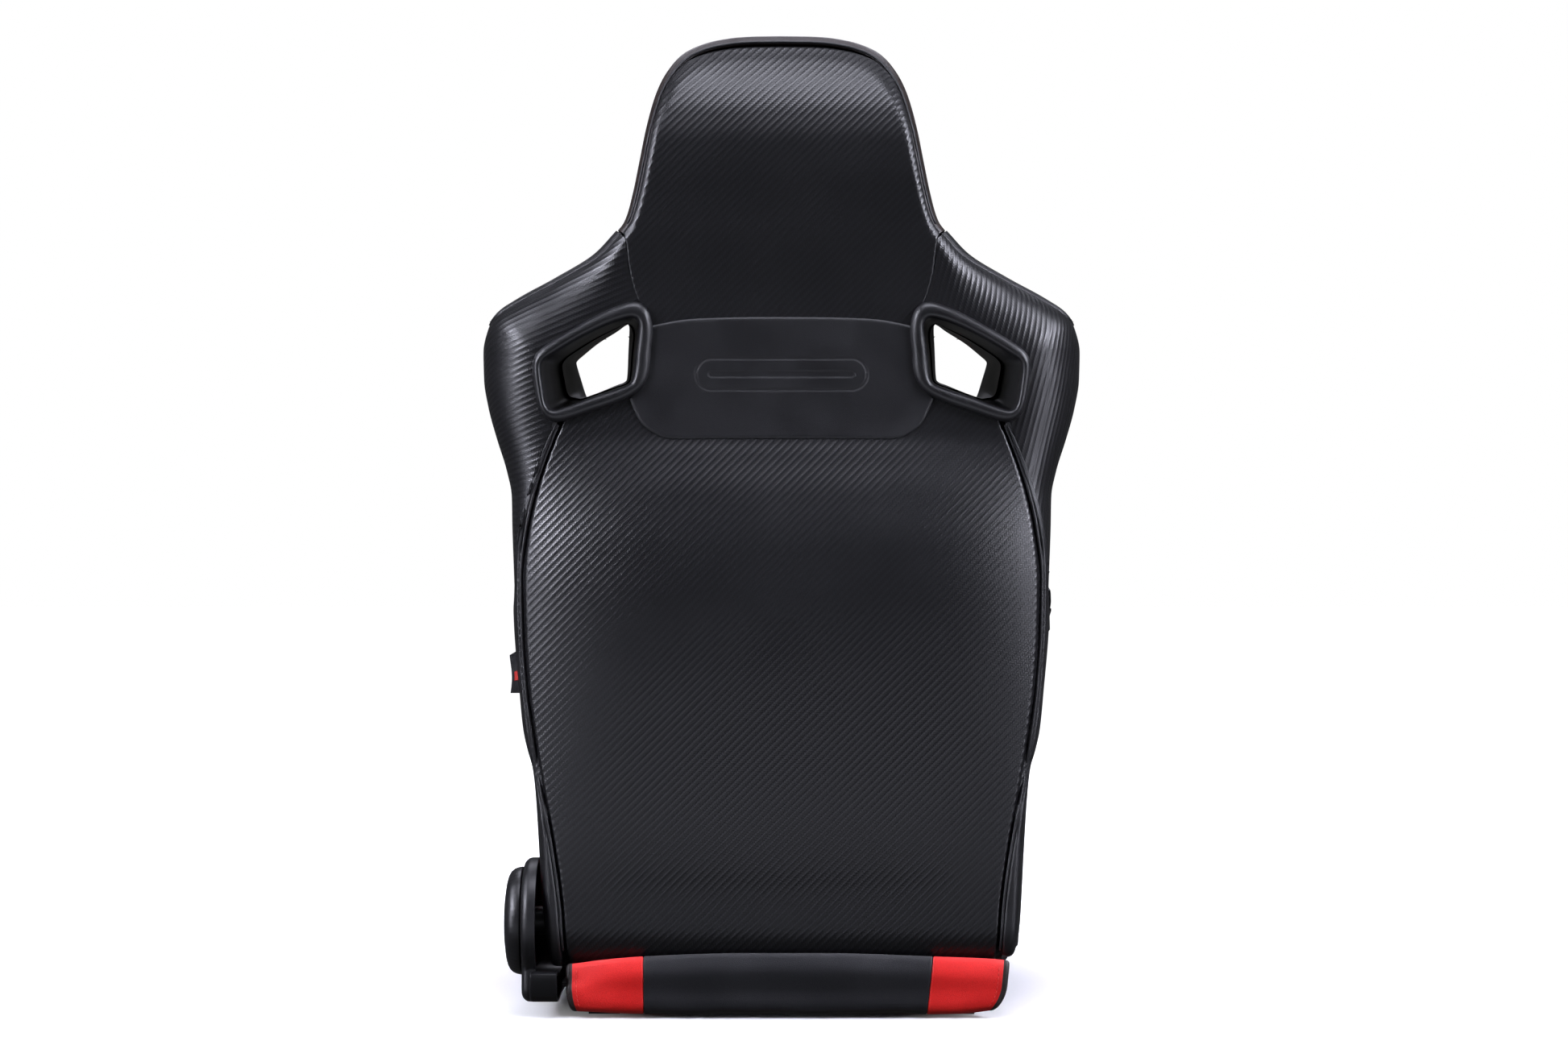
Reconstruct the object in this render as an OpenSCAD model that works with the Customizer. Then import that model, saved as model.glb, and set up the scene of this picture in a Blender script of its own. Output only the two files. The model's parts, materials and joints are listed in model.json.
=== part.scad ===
// Reclining racing seat: a bolstered cushion on a steel base, a high back with two harness slots,
// and a handwheel recliner. Millimetres. The seat faces -Y, +X is the sitter's left.
// The origin is the centre of the four mounting holes, in the plane of the base rails' underside.

/* [Base] */
// Distance between the left and right mounting holes
mount_x = 343; // [330:1:350]
// Distance between the front and rear mounting holes
mount_y = 286; // [260:1:300]
// Radius of a mounting hole, M8 at its major diameter
mount_r = 4; // [3.4:0.1:4.2]
// Width of a base rail
rail_w = 30; // [26:1:32]
// Height of a base rail
rail_h = 25; // [24:1:26]
// Length of a base rail
rail_len = 400; // [380:1:400]

/* [Recliner] */
// Height of the recline axis above the rails' underside
pivot_z = 89; // [88:0.5:90]
// Distance of the recline axis behind the mounting holes' centre
pivot_y = 190; // [188:1:192]
// Radius of the shaft that joins the two recliners
shaft_r = 7; // [6:0.5:7.5]
// Radius of the recliner discs
disc_r = 35; // [32:1:36]
// Radius of the handwheel
wheel_r = 52; // [48:1:53]
// Radius of the side cover round the recliner
cover_r = 61; // [60:1:62]

/* [Back] */
// Height of the back's highest point
top_z = 950; // [949:1:952]
// Radius of the back frame's tube
frame_r = 11; // [10:0.5:11]
// Half the distance between the back frame's uprights
upright_x = 180; // [178:1:181]
// Radius of the back's round lower edge
heel_r = 50; // [49:0.5:50]
// Thickness of the padded rear panels
skin = 8; // [5:0.5:8]

/* [Cushion] */
// Half the width of the cushion's flat middle
insert_x = 148; // [140:1:150]
// Half the width of the whole cushion
cushion_x = 228; // [226:1:232]
// Half the width of the cushion's low tail, under the back
tail_x = 211; // [208:1:211]
// How far the tail's cover sits towards the sitter's right
tail_shift = 5; // [0:1:5]
// Radius of the hollow in the tail that the back's lower edge turns in
hollow_r = 52; // [51.5:0.5:53]

/* [Harness slots] */
// Wall of a slot bezel
bezel_wall = 3; // [2.5:0.5:3.5]
// Width of the rim that a slot bezel lays on the cover
bezel_rim = 11; // [9:0.5:11]

/* [Hidden] */
$fn = 64;

shell_black = [0.09, 0.09, 0.10];
carbon_black = [0.13, 0.13, 0.14];
vinyl_black = [0.10, 0.10, 0.11];
bolster_red = [0.80, 0.07, 0.06];
steel_black = [0.16, 0.16, 0.17];
zinc = [0.70, 0.71, 0.72];
foam_grey = [0.35, 0.35, 0.36];

// Parts stacked outwards along the recline axis, each given as its inner and outer distance
arm_in = upright_x + frame_r;
arm_out = arm_in + 4;
disc_mid = arm_out + 8.5;
disc_out = disc_mid + 4.5;
bracket_out = disc_out + 4;
flap_in = 223;
cover_in = 235;
cover_out = 249;
running = 0.06;

// ---- Small tools ----

function unit(v) = v / norm(v);
function arc(c, r, a0, a1, n) =
    [for (i = [0:n]) let (a = a0 + (a1 - a0) * i / n) [c[0] + r * cos(a), c[1] + r * sin(a)]];

// Points along the arc of radius r that rounds the corner b between a and c
function corner(a, b, c, r, n) =
    let (
        u = unit(a - b),
        v = unit(c - b),
        half = acos(u * v) / 2,
        centre = b + unit(u + v) * r / sin(half),
        from = b + u * r / tan(half) - centre,
        to = b + v * r / tan(half) - centre,
        turn = 180 - 2 * half
    )
    [for (i = [0:n])
        centre + (sin(turn * (1 - i / n)) * from + sin(turn * i / n) * to) / sin(turn)];

// An open route with its inner corners rounded, and a closed outline with all corners rounded
function rounded_route(p, r, n) = [
    p[0],
    for (i = [1:len(p) - 2]) each corner(p[i - 1], p[i], p[i + 1], r, n),
    p[len(p) - 1]
];
function rounded_loop(p, r, n) =
    let (m = len(p))
    [for (i = [0:m - 1]) each corner(p[(i + m - 1) % m], p[i], p[(i + 1) % m], r[i], n)];

// Extrusions of a profile: (y, z) across X, (x, z) along Y, and (x, y) upwards
module across(profile, x0, x1) {
    translate([x0, 0, 0]) rotate([90, 0, 90]) linear_extrude(x1 - x0) polygon(profile);
}
module fore_aft(outline, y0, y1) {
    translate([0, y1, 0]) rotate([90, 0, 0]) linear_extrude(y1 - y0) polygon(outline);
}
module upward(plan, z0, z1) {
    translate([0, 0, z0]) linear_extrude(z1 - z0) polygon(plan);
}
// A shape made for the sitter's left, or its mirror image
module on_side(side) {
    if (side > 0) children();
    else mirror([1, 0, 0]) children();
}
module at_pivot() {
    translate([0, pivot_y, 0]) children();
}

// Points round a route whose direction is never along ref
function rings_round(route, r, sides, ref) =
    let (m = len(route))
    [for (i = [0:m - 1])
        let (
            t = unit(route[min(i + 1, m - 1)] - route[max(i - 1, 0)]),
            a = unit(cross(t, ref)),
            b = cross(t, a)
        )
        for (k = [0:sides - 1])
            route[i] + r * (cos(360 * k / sides) * a + sin(360 * k / sides) * b)];
// A round cord along a route
module cord(route, r, sides, ref) {
    m = len(route);
    faces = [
        [for (k = [0:sides - 1]) k],
        for (i = [0:m - 2]) for (k = [0:sides - 1])
            let (l = (k + 1) % sides)
            [i * sides + k, (i + 1) * sides + k, (i + 1) * sides + l, i * sides + l],
        [for (k = [sides - 1:-1:0]) (m - 1) * sides + k]
    ];
    polyhedron(rings_round(route, r, sides, ref), faces);
}
// A hollow tube along a route
module pipe(route, r, wall, sides, ref) {
    m = len(route);
    n = m * sides;
    faces = [
        for (i = [0:m - 2]) for (k = [0:sides - 1])
            let (l = (k + 1) % sides, a = i * sides, b = a + sides) each [
                [a + k, b + k, b + l, a + l],
                [n + a + l, n + b + l, n + b + k, n + a + k]
            ],
        for (k = [0:sides - 1])
            let (l = (k + 1) % sides, e = n - sides) each [
                [k, l, n + l, n + k],
                [e + l, e + k, n + e + k, n + e + l]
            ]
    ];
    polyhedron(concat(rings_round(route, r, sides, ref), rings_round(route, r - wall, sides, ref)), faces);
}

// A block between a front and a rear surface, over rows of [z, half width]; fronts and rears hold
// the y of each grid point, and the block is symmetric about X = 0
module block(rows, fronts, rears, cols) {
    m = len(rows);
    wide = cols + 1;
    points = [
        for (side = [0, 1]) for (i = [0:m - 1]) for (j = [0:cols])
            [rows[i][1] * (2 * j / cols - 1), (side == 0 ? fronts : rears)[i][j], rows[i][0]]
    ];
    function at(side, i, j) = side * m * wide + i * wide + j;
    faces = [
        for (i = [0:m - 2]) for (j = [0:cols - 1]) each [
            [at(0, i, j), at(0, i + 1, j), at(0, i + 1, j + 1)],
            [at(0, i, j), at(0, i + 1, j + 1), at(0, i, j + 1)],
            [at(1, i, j), at(1, i + 1, j + 1), at(1, i + 1, j)],
            [at(1, i, j), at(1, i, j + 1), at(1, i + 1, j + 1)]
        ],
        for (i = [0:m - 2]) each [
            [at(0, i, 0), at(1, i, 0), at(1, i + 1, 0), at(0, i + 1, 0)],
            [at(0, i, cols), at(0, i + 1, cols), at(1, i + 1, cols), at(1, i, cols)]
        ],
        for (j = [0:cols - 1]) each [
            [at(0, 0, j), at(0, 0, j + 1), at(1, 0, j + 1), at(1, 0, j)],
            [at(0, m - 1, j), at(1, m - 1, j), at(1, m - 1, j + 1), at(0, m - 1, j + 1)]
        ]
    ];
    polyhedron(points, faces);
}

// ---- Shape of the back, as half widths and depths against height ----
// Depths are measured from the recline axis, positive to the rear.

// Outer edge of the back, seen from behind
silhouette = [
    [58, 226], [100, 229], [173, 233], [216, 236], [240, 239], [253, 243], [275, 248],
    [314, 252], [372, 257], [423, 259], [470, 261], [501, 262], [525, 267], [556, 277],
    [587, 286], [614, 291], [642, 292], [664, 287], [679, 277], [693, 256], [712, 220],
    [735, 181], [751, 165], [767, 152], [794, 144], [823, 138], [858, 131], [888, 123],
    [913, 113], [929, 101], [940, 84], [948, 55], [950, 20]
];
// Line of the piping round the lower rear panel
piping_line = [
    [58, 209], [110, 213], [173, 222], [220, 231], [275, 240], [314, 245], [372, 249],
    [423, 250], [470, 245], [510, 236], [556, 220], [572, 213]
];
// Middle of the rear surface, and the rear surface at the piping
rear_middle = [
    [89, 50], [104, 50], [120, 51], [146, 55], [200, 62], [280, 70], [350, 76], [400, 78], [450, 74],
    [500, 62],
    [540, 47], [560, 39], [600, 37], [690, 37], [760, 40], [820, 39], [870, 32], [905, 20],
    [930, 2], [950, -24]
];
rear_edge = [
    [89, 47], [150, 45], [200, 44], [280, 43], [350, 43], [400, 43], [450, 42], [500, 40],
    [560, 38]
];
// Middle of the front surface of the back and the head
front_middle = [
    [89, -49], [130, -52], [180, -58], [230, -58], [300, -52], [400, -42], [480, -36],
    [560, -34], [640, -36], [690, -42], [740, -58], [800, -74], [860, -78], [910, -70],
    [935, -56], [950, -30]
];
function half_at(z) = lookup(z, silhouette);
function piping_at(z) = lookup(z, piping_line);
function rear_at(x, z) =
    let (e = lookup(z, rear_edge), m = lookup(z, rear_middle))
    e + (m - e) * (1 - pow(min(1, abs(x) / piping_at(z)), 2.6));
function between(table, z0, z1) = [for (q = table) if (q[0] > z0 && q[0] < z1) q];

// ---- Harness slots ----
// Slot openings for the sitter's left, as (x, z): at the rear face and at the front face

slot_rear = [[142, 679], [139, 612], [224, 588], [236, 636]];
slot_front = [[150, 672], [152, 618], [199, 606], [209, 642]];
slot_round = [11, 12, 11, 13];
wing_rear_y = 38;
wing_front_y = -86;
slot_mid_y = -24;
function slot_loop(p, grow) =
    let (
        c = (p[0] + p[1] + p[2] + p[3]) / 4,
        out = [for (q = p) q + unit(q - c) * grow * 1.3]
    )
    rounded_loop(out, [for (r = slot_round) r + grow], 5);

// ---- Base ----

module base_rails() {
    color(steel_black)
    for (side = [-1, 1]) difference() {
        translate([side * mount_x / 2 - rail_w / 2, -rail_len / 2, 0]) cube([rail_w, rail_len, rail_h]);
        translate([side * mount_x / 2 - rail_w / 2 + 2, -rail_len / 2 - 1, 2])
            cube([rail_w - 4, rail_len + 2, rail_h - 4]);
        for (end = [-1, 1])
            translate([side * mount_x / 2, end * mount_y / 2, -1]) cylinder(r = 8, h = rail_h + 2);
        for (y = bolt_ys)
            translate([side * (mount_x / 2 + rail_w / 2 - 3), y, bolt_z]) rotate([0, side * 90, 0])
                cylinder(r = 4.1, h = 4);
    }
}
cross_r = 12;
cross_z = 13;
cross_ys = [-170, 176];
module base_cross_tubes() {
    inner = mount_x - rail_w;
    color(steel_black)
    for (y = cross_ys) translate([-inner / 2, y, cross_z]) rotate([0, 90, 0]) difference() {
        cylinder(r = cross_r, h = inner);
        translate([0, 0, -1]) cylinder(r = cross_r - 2, h = inner + 2);
    }
}
module mount_nuts() {
    color(zinc)
    for (sx = [-1, 1]) for (sy = [-1, 1]) translate([sx * mount_x / 2, sy * mount_y / 2, 0]) difference() {
        cylinder(r = 8, h = rail_h);
        translate([0, 0, -1]) cylinder(r = mount_r, h = rail_h + 2);
    }
}
spring_z = 31;
spring_xs = [-96, -32, 32, 96];
wire_r = 1.8;
// Zigzag wire between two ends, in the plane at right angles to up
function zigzag(from, to, sway, waves) =
    [for (i = [0:waves * 6])
        let (f = i / (waves * 6), fade = min(1, 8 * f, 8 * (1 - f)))
        from + (to - from) * f + sway * sin(360 * waves * f) * fade];
module seat_springs() {
    color(zinc)
    for (x = spring_xs)
        cord(zigzag([x, cross_ys[0] + 6, spring_z], [x, cross_ys[1] - 6, spring_z], [20, 0, 0], 5),
            wire_r, 6, [0, 0, 1]);
}
clip_h = 7.9;
module spring_clips() {
    color(shell_black)
    for (x = spring_xs) for (e = [0, 1])
        translate([x - 7, cross_ys[e] + (e == 0 ? -8 : -6), cross_z + cross_r]) cube([14, 14, clip_h]);
}

// ---- Cushion ----

foam_top = [
    [-270, 60], [-282, 84], [-284, 112], [-276, 131], [-262, 140], [-236, 143], [-180, 131],
    [-100, 115], [-20, 104], [60, 97], [110, 93], [127, 91]
];
cover_top = [
    [-276, 46], [-291, 72], [-295, 112], [-286, 138], [-268, 150], [-238, 153], [-180, 141],
    [-100, 125], [-20, 114], [60, 107], [112, 103], [127, 100]
];
module cushion_foam() {
    color(foam_grey)
        across(concat([[127, 33]], [[-262, 33]], foam_top), -insert_x, insert_x);
}
function backwards(p) = [for (i = [len(p) - 1:-1:0]) p[i]];
module cushion_insert() {
    color(vinyl_black) across(concat(cover_top, backwards(foam_top)), -insert_x, insert_x);
}
// The bolster's section, as (x, z), and its height from nose to tail, as (y, z)
bolster_section = [
    [insert_x, rail_h], [insert_x, 92], [158, 116], [178, 158], [192, 173], [206, 178], [218, 171],
    [225, 152], [cushion_x, 118], [cushion_x - 3, 78], [209, 56], [205, rail_h]
];
bolster_side = [
    [-262, 3], [-284, 20], [-292, 60], [-294, 118], [-282, 148], [-256, 164], [-200, 172],
    [-100, 177], [0, 179], [70, 174], [104, 160], [118, 130], [124, 93], [127, 60], [127, 3]
];
module cushion_bolster(side) {
    on_side(side) intersection() {
        fore_aft(bolster_section, -300, 130);
        across(bolster_side, 140, 250);
    }
}
module cushion_bolster_left() { color(bolster_red) cushion_bolster(1); }
module cushion_bolster_right() { color(bolster_red) cushion_bolster(-1); }

tail_rear = 44;
tail_lip = 59;
tail_profile = concat(
    [[127 - pivot_y, 33], [127 - pivot_y, 94], [-hollow_r - 6, 100], [-hollow_r - 1, 96]],
    arc([0, pivot_z], hollow_r, 180, 360 - asin((pivot_z - tail_lip) / hollow_r), 18),
    [[tail_rear, tail_lip - 1], [tail_rear + 2, 53], [tail_rear + 2, 14], [tail_rear - 4, 3]],
    [[26, 3], [26, 33]]
);
tail_seam = 137;
// The tail's ends keep to the rear of the recliner brackets
tail_inner = 198;
tail_notch = 30;
module tail(x0, x1) { translate([-tail_shift, 0, 0]) at_pivot() across(tail_profile, x0, x1); }
module tail_corner(side) {
    color(bolster_red) translate([-tail_shift, 0, 0]) on_side(side) at_pivot() union() {
        across(tail_profile, tail_seam, tail_inner);
        intersection() {
            across(tail_profile, tail_inner - 1, tail_x);
            translate([0, tail_notch, 0]) cube([tail_x + 1, 40, 80]);
        }
    }
}
module cushion_tail() { color(vinyl_black) tail(-tail_seam, tail_seam); }
module tail_corner_left() { tail_corner(1); }
module tail_corner_right() { tail_corner(-1); }

// ---- Recliner ----

bolt_ys = [158, 188];
bolt_z = 14;
rail_out = mount_x / 2 + rail_w / 2;
// The bracket's foot: where it starts, from the recline axis, its length, and its ledge's height
foot_from = -62;
foot_len = 78;
ledge_z = 27;
module recliner_bracket(side) {
    color(steel_black) on_side(side) difference() {
        union() {
            // Upright: a round head on the recline axis and a leg ahead of the turning heel
            translate([disc_out, pivot_y, pivot_z]) rotate([90, 0, 90])
                linear_extrude(bracket_out - disc_out) union() {
                    circle(r = disc_r);
                    polygon([
                        [-34, -8], [foot_from, ledge_z - pivot_z], [-26, ledge_z - pivot_z], [-14, -32]
                    ]);
                }
            // Ledge out from the rail, and the foot that lies against it
            translate([rail_out, pivot_y + foot_from, ledge_z])
                cube([bracket_out - rail_out, foot_len, 4]);
            translate([rail_out, pivot_y + foot_from, 3]) cube([4, foot_len, ledge_z - 1]);
        }
        translate([disc_out - 1, pivot_y, pivot_z]) rotate([0, 90, 0])
            cylinder(r = shaft_r + 2, h = bracket_out - disc_out + 2);
        for (y = bolt_ys) translate([rail_out - 1, y, bolt_z]) rotate([0, 90, 0]) cylinder(r = 4.1, h = 7);
    }
}
module recliner_bracket_left() { recliner_bracket(1); }
module recliner_bracket_right() { recliner_bracket(-1); }
module hex_bolt(r, head_r, head_h, len) {
    cylinder(r = head_r, h = head_h, $fn = 6);
    translate([0, 0, -len]) cylinder(r = r, h = len);
}
module bracket_bolts() {
    color(zinc)
    for (side = [-1, 1]) on_side(side) for (y = bolt_ys)
        translate([rail_out + 4, y, bolt_z]) rotate([0, 90, 0]) hex_bolt(4, 7, 5.5, 10);
}
module disc(x0, x1) {
    translate([x0, pivot_y, pivot_z]) rotate([0, 90, 0]) difference() {
        cylinder(r = disc_r - 1, h = x1 - x0);
        translate([0, 0, -1]) cylinder(r = shaft_r + running, h = x1 - x0 + 2);
    }
}
module recliner_fixed_disc_left() { color(zinc) disc(disc_mid + 0.3, disc_out); }
module recliner_fixed_disc_right() { color(zinc) mirror([1, 0, 0]) disc(disc_mid + 0.3, disc_out); }
module recliner_moving_disc_left() { color(zinc) disc(arm_out, disc_mid); }
module recliner_moving_disc_right() { color(zinc) mirror([1, 0, 0]) disc(arm_out, disc_mid); }

// Side cover: a round shell on the recline axis with a low box that runs forward and turns inwards
function cover_outline(r, foot) = concat(
    arc([0, pivot_z], r, -42, 148, 24),
    [[-118, 74 - foot], [-168, 52 - foot], [-176, 40 - foot], [-174, 25 + foot], [-164, 15 + foot]],
    [[34, 15 + foot], [46 - foot, 25 + foot]]
);
// Box at the cover's foot. Its top dips under the turning back.
function cover_foot(inset) = [
    [-170 + inset, 46 - inset], [-170 + inset, 27], [-158 + inset, 15 + inset],
    [36 - inset, 15 + inset], [50 - inset, 27], [54 - inset, 46 - inset],
    [28, 46 - inset], [12, 40 - inset], [-12, 40 - inset], [-28, 46 - inset]
];
cover_wall = 3;
// Boss round the shaft, and the wall in front of the recliner, as angles about its axis
boss_r = 14;
shroud_in = 215;
shroud_turn = [168, 232];
module recliner_cover() {
    color(shell_black) at_pivot() difference() {
        union() {
            difference() {
                union() {
                    across(cover_outline(cover_r, 0), cover_in, cover_out);
                    across(cover_foot(0), bracket_out + 2, cover_in + 5);
                }
                across(cover_outline(cover_r - cover_wall, cover_wall), cover_in - 1, cover_out - cover_wall);
                across(cover_foot(cover_wall), bracket_out + 1, cover_in + 6);
            }
            translate([shroud_in, 0, pivot_z]) rotate([0, 90, 0])
                cylinder(r = boss_r, h = cover_out - shroud_in - 1);
            across(concat(
                arc([0, pivot_z], cover_r, shroud_turn[0], shroud_turn[1], 10),
                arc([0, pivot_z], cover_r - cover_wall, shroud_turn[1], shroud_turn[0], 10)
            ), shroud_in, cover_out - 1);
        }
        translate([shroud_in - 1, 0, pivot_z]) rotate([0, 90, 0])
            cylinder(r = shaft_r + 1, h = cover_out - shroud_in + 2);
        for (p = cover_screw_at)
            translate([cover_in, p[0], p[1]]) rotate([0, 90, 0]) cylinder(r = 2.1, h = 20);
    }
}
cover_screw_at = [[-150, 30], [-84, 30]];
module cover_screws() {
    color(zinc) at_pivot() for (p = cover_screw_at)
        translate([cover_out, p[0], p[1]]) rotate([0, 90, 0]) {
            translate([0, 0, -10]) cylinder(r = 2, h = 10);
            cylinder(r1 = 4.2, r2 = 3, h = 2);
        }
}
module recliner_shaft() {
    color(zinc) translate([-disc_out - 4, pivot_y, pivot_z]) rotate([0, 90, 0])
        cylinder(r = shaft_r, h = disc_out + 4 + cover_out + 8);
}
wheel_face = 268.5;
// Half section of the handwheel, as (radius, distance along the recline axis)
wheel_profile = concat(
    [[shaft_r, cover_out + 1], [wheel_r - 1.5, cover_out + 1], [wheel_r, cover_out + 2.5]],
    [[wheel_r - 0.3, 254.5], [wheel_r - 1.3, 257.5], [wheel_r - 3.2, 260.4]],
    [[wheel_r - 6, 262.6], [wheel_r - 10, 264.4], [36, 265.8], [24, 267.4], [14, 268.2]],
    [[14, 262], [shaft_r, 262]]
);
module handwheel() {
    color(shell_black) translate([0, pivot_y, pivot_z]) rotate([0, 90, 0])
        rotate_extrude($fn = 128) polygon(wheel_profile);
}
module handwheel_cap() {
    color(shell_black) translate([262, pivot_y, pivot_z]) rotate([0, 90, 0])
        cylinder(r = 13.8, h = wheel_face - 262);
}

// ---- Back: frame and arms ----

frame_y = 14;
frame_wall = 2;
arm_bolt_zs = [150, 190];
frame_foot = 128;
frame_path = rounded_route([
    [upright_x, frame_y, frame_foot], [upright_x, frame_y, 440], [106, frame_y, 556],
    [92, frame_y, 850], [-92, frame_y, 850], [-106, frame_y, 556],
    [-upright_x, frame_y, 440], [-upright_x, frame_y, frame_foot]
], 48, 5);
module back_frame() {
    color(steel_black) at_pivot() difference() {
        pipe(frame_path, frame_r, frame_wall, 16, [0, 1, 0]);
        for (side = [-1, 1]) for (z = arm_bolt_zs) translate([side * upright_x, frame_y, z])
            rotate([0, side * 90, 0]) cylinder(r = 4.1, h = frame_r + 1, $fn = 16);
    }
}
bar_zs = [150, 405];
bar_half = upright_x - frame_r;
module back_cross_bars() {
    color(steel_black) at_pivot() for (z = bar_zs)
        translate([-bar_half, frame_y, z]) rotate([0, 90, 0]) difference() {
            cylinder(r = 9, h = 2 * bar_half);
            translate([0, 0, -1]) cylinder(r = 7.5, h = 2 * bar_half + 2);
        }
}
module back_springs() {
    color(zinc) at_pivot() for (z = [210, 290, 370])
        cord(zigzag([-168, 6, z], [168, 6, z], [0, 0, 16], 5), wire_r, 6, [0, 1, 0]);
}
module recliner_arm(side) {
    color(steel_black) on_side(side) difference() {
        translate([arm_in, pivot_y, pivot_z]) rotate([90, 0, 90]) linear_extrude(arm_out - arm_in) union() {
            circle(r = disc_r);
            polygon([[-30, 10], [0, 36], [0, 130], [30, 130], [34, 8]]);
        }
        translate([arm_in - 1, pivot_y, pivot_z]) rotate([0, 90, 0])
            cylinder(r = shaft_r + 1, h = arm_out - arm_in + 2);
        for (z = arm_bolt_zs) translate([arm_in - 1, pivot_y + frame_y, z]) rotate([0, 90, 0])
            cylinder(r = 4.1, h = 7);
    }
}
module recliner_arm_left() { recliner_arm(1); }
module recliner_arm_right() { recliner_arm(-1); }
module arm_bolts() {
    color(zinc)
    for (side = [-1, 1]) on_side(side) for (z = arm_bolt_zs)
        translate([arm_out, pivot_y + frame_y, z]) rotate([0, 90, 0])
            hex_bolt(4, 7, 5, 9);
}

// ---- Back: padding and covers ----

// Front surface from the table, pulled back by inset, between two heights
function front_line(z0, z1, inset) = concat(
    [[lookup(z0, front_middle) + inset, z0]],
    [for (q = between(front_middle, z0, z1)) [q[1] + inset, q[0]]],
    [[lookup(z1, front_middle) + inset, z1]]
);
// Depth at which the padding behind meets the padding in front
head_mid = -2;
pad = 10;
insert_top = 556;
foam_back = -2;
back_insert_x = 158;
module back_foam() {
    color(foam_grey) at_pivot() difference() {
        across(concat(
            arc([0, pivot_z], heel_r - skin - 0.8, -60, -180, 10),
            front_line(98, insert_top, pad),
            [[foam_back, insert_top], [foam_back, 112], [21, 100]]
        ), -back_insert_x, back_insert_x);
        translate([-210, 0, pivot_z]) rotate([0, 90, 0]) cylinder(r = shaft_r + 3, h = 420);
    }
}
module back_insert() {
    color(vinyl_black) at_pivot() across(concat(
        arc([0, pivot_z], heel_r, -112, -180, 8),
        front_line(98, insert_top, 0),
        backwards(front_line(98, insert_top, pad)),
        arc([0, pivot_z], heel_r - skin - 0.5, -180, -112, 8)
    ), -back_insert_x, back_insert_x);
}
module chest_panel() {
    color(vinyl_black) at_pivot() across(
        concat(front_line(insert_top, 690, 0), [[foam_back, 690], [foam_back, insert_top]]), -127, 127);
}
// Back bolster, as (x, z) from behind and (y, z) from the side
bolster_outline = concat(
    [[back_insert_x, 128], [flap_in - 1, 128], [flap_in - 1, 226.5], [236, 227]],
    [for (q = between(silhouette, 227, 557)) [q[1] - 1, q[0]]],
    [[276, 557], [back_insert_x, 557]]
);
bolster_depth = [
    [-2, 128], [-54, 128], [-66, 170], [-86, 214], [-118, 246], [-136, 290], [-145, 350],
    [-146, 420], [-138, 490], [-122, 540], [-114, 557], [-2, 557]
];
bolster_plan = [
    [140, head_mid - 0.2], [140, -60], [back_insert_x, -72], [176, -118], [198, -142],
    [222, -148], [244, -132], [256, -92], [277, -30], [277, head_mid - 0.2]
];
module back_bolster(side) {
    color(bolster_red) on_side(side) at_pivot() intersection() {
        fore_aft(bolster_outline, -150, 0);
        across(bolster_depth, 140, 290);
        upward(bolster_plan, 100, 600);
    }
}
module back_bolster_left() { back_bolster(1); }
module back_bolster_right() { back_bolster(-1); }

// Lower rear panel: the crowned panel above, and the round heel below it
panel_rows = [89, 104, 121, 145, 173, 220, 275, 330, 380, 423, 470, 510, 540, 558];
channel = 4;
module rear_panel() {
    cols = 12;
    rows = [for (z = panel_rows) [z, piping_at(z) - channel]];
    rears = [for (r = rows) [for (j = [0:cols]) rear_at(r[1] * (2 * j / cols - 1), r[0])]];
    fronts = [for (r = rears) [for (y = r) y - skin]];
    color(carbon_black) at_pivot() {
        block(rows, fronts, rears, cols);
        across(concat(
            arc([0, pivot_z], heel_r - 3, 0, -110, 16),
            arc([0, pivot_z], heel_r - skin, -110, 0, 16)
        ), -piping_at(58) + channel, piping_at(58) - channel);
    }
}
band_x = 127;
band_top = 690;
module rear_band() {
    color(vinyl_black) at_pivot()
        fore_aft([[-band_x, 559], [band_x, 559], [band_x, band_top], [-band_x, band_top]], 37 - skin, 37);
}
// Head, between its front pad and its rear panel
head_rows = [
    [691, 130], [700, 134], [725, 140], [751, 146], [767, 145], [794, 137], [823, 131],
    [858, 124], [888, 116], [913, 106], [929, 94], [940, 77], [946, 50]
];
function head_bulge(r, table, cols, edge) =
    [for (j = [0:cols])
        let (f = 1 - pow(abs(2 * j / cols - 1), 3))
        edge + (lookup(r[0], table) - edge) * f];
module rear_head_panel() {
    cols = 10;
    rears = [for (r = head_rows)
        head_bulge(r, rear_middle, cols, head_mid + max(4, min(26, (950 - r[0]) / 3)))];
    fronts = [for (r = head_rows) [for (j = [0:cols]) head_mid]];
    color(carbon_black) at_pivot() difference() {
        block(head_rows, fronts, [for (r = rears) [for (y = r) max(y, head_mid + 3)]], cols);
        fore_aft([[-114, 680], [114, 680], [109, 828], [80, 868], [-80, 868], [-109, 828]], -10, 26);
    }
}
module head_cushion() {
    cols = 10;
    fronts = [for (r = head_rows)
        head_bulge(r, front_middle, cols, head_mid - max(4, min(30, (954 - r[0]) / 2)))];
    rears = [for (r = head_rows) [for (j = [0:cols]) head_mid]];
    color(vinyl_black) at_pivot() block(head_rows, fronts, rears, cols);
}
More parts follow.
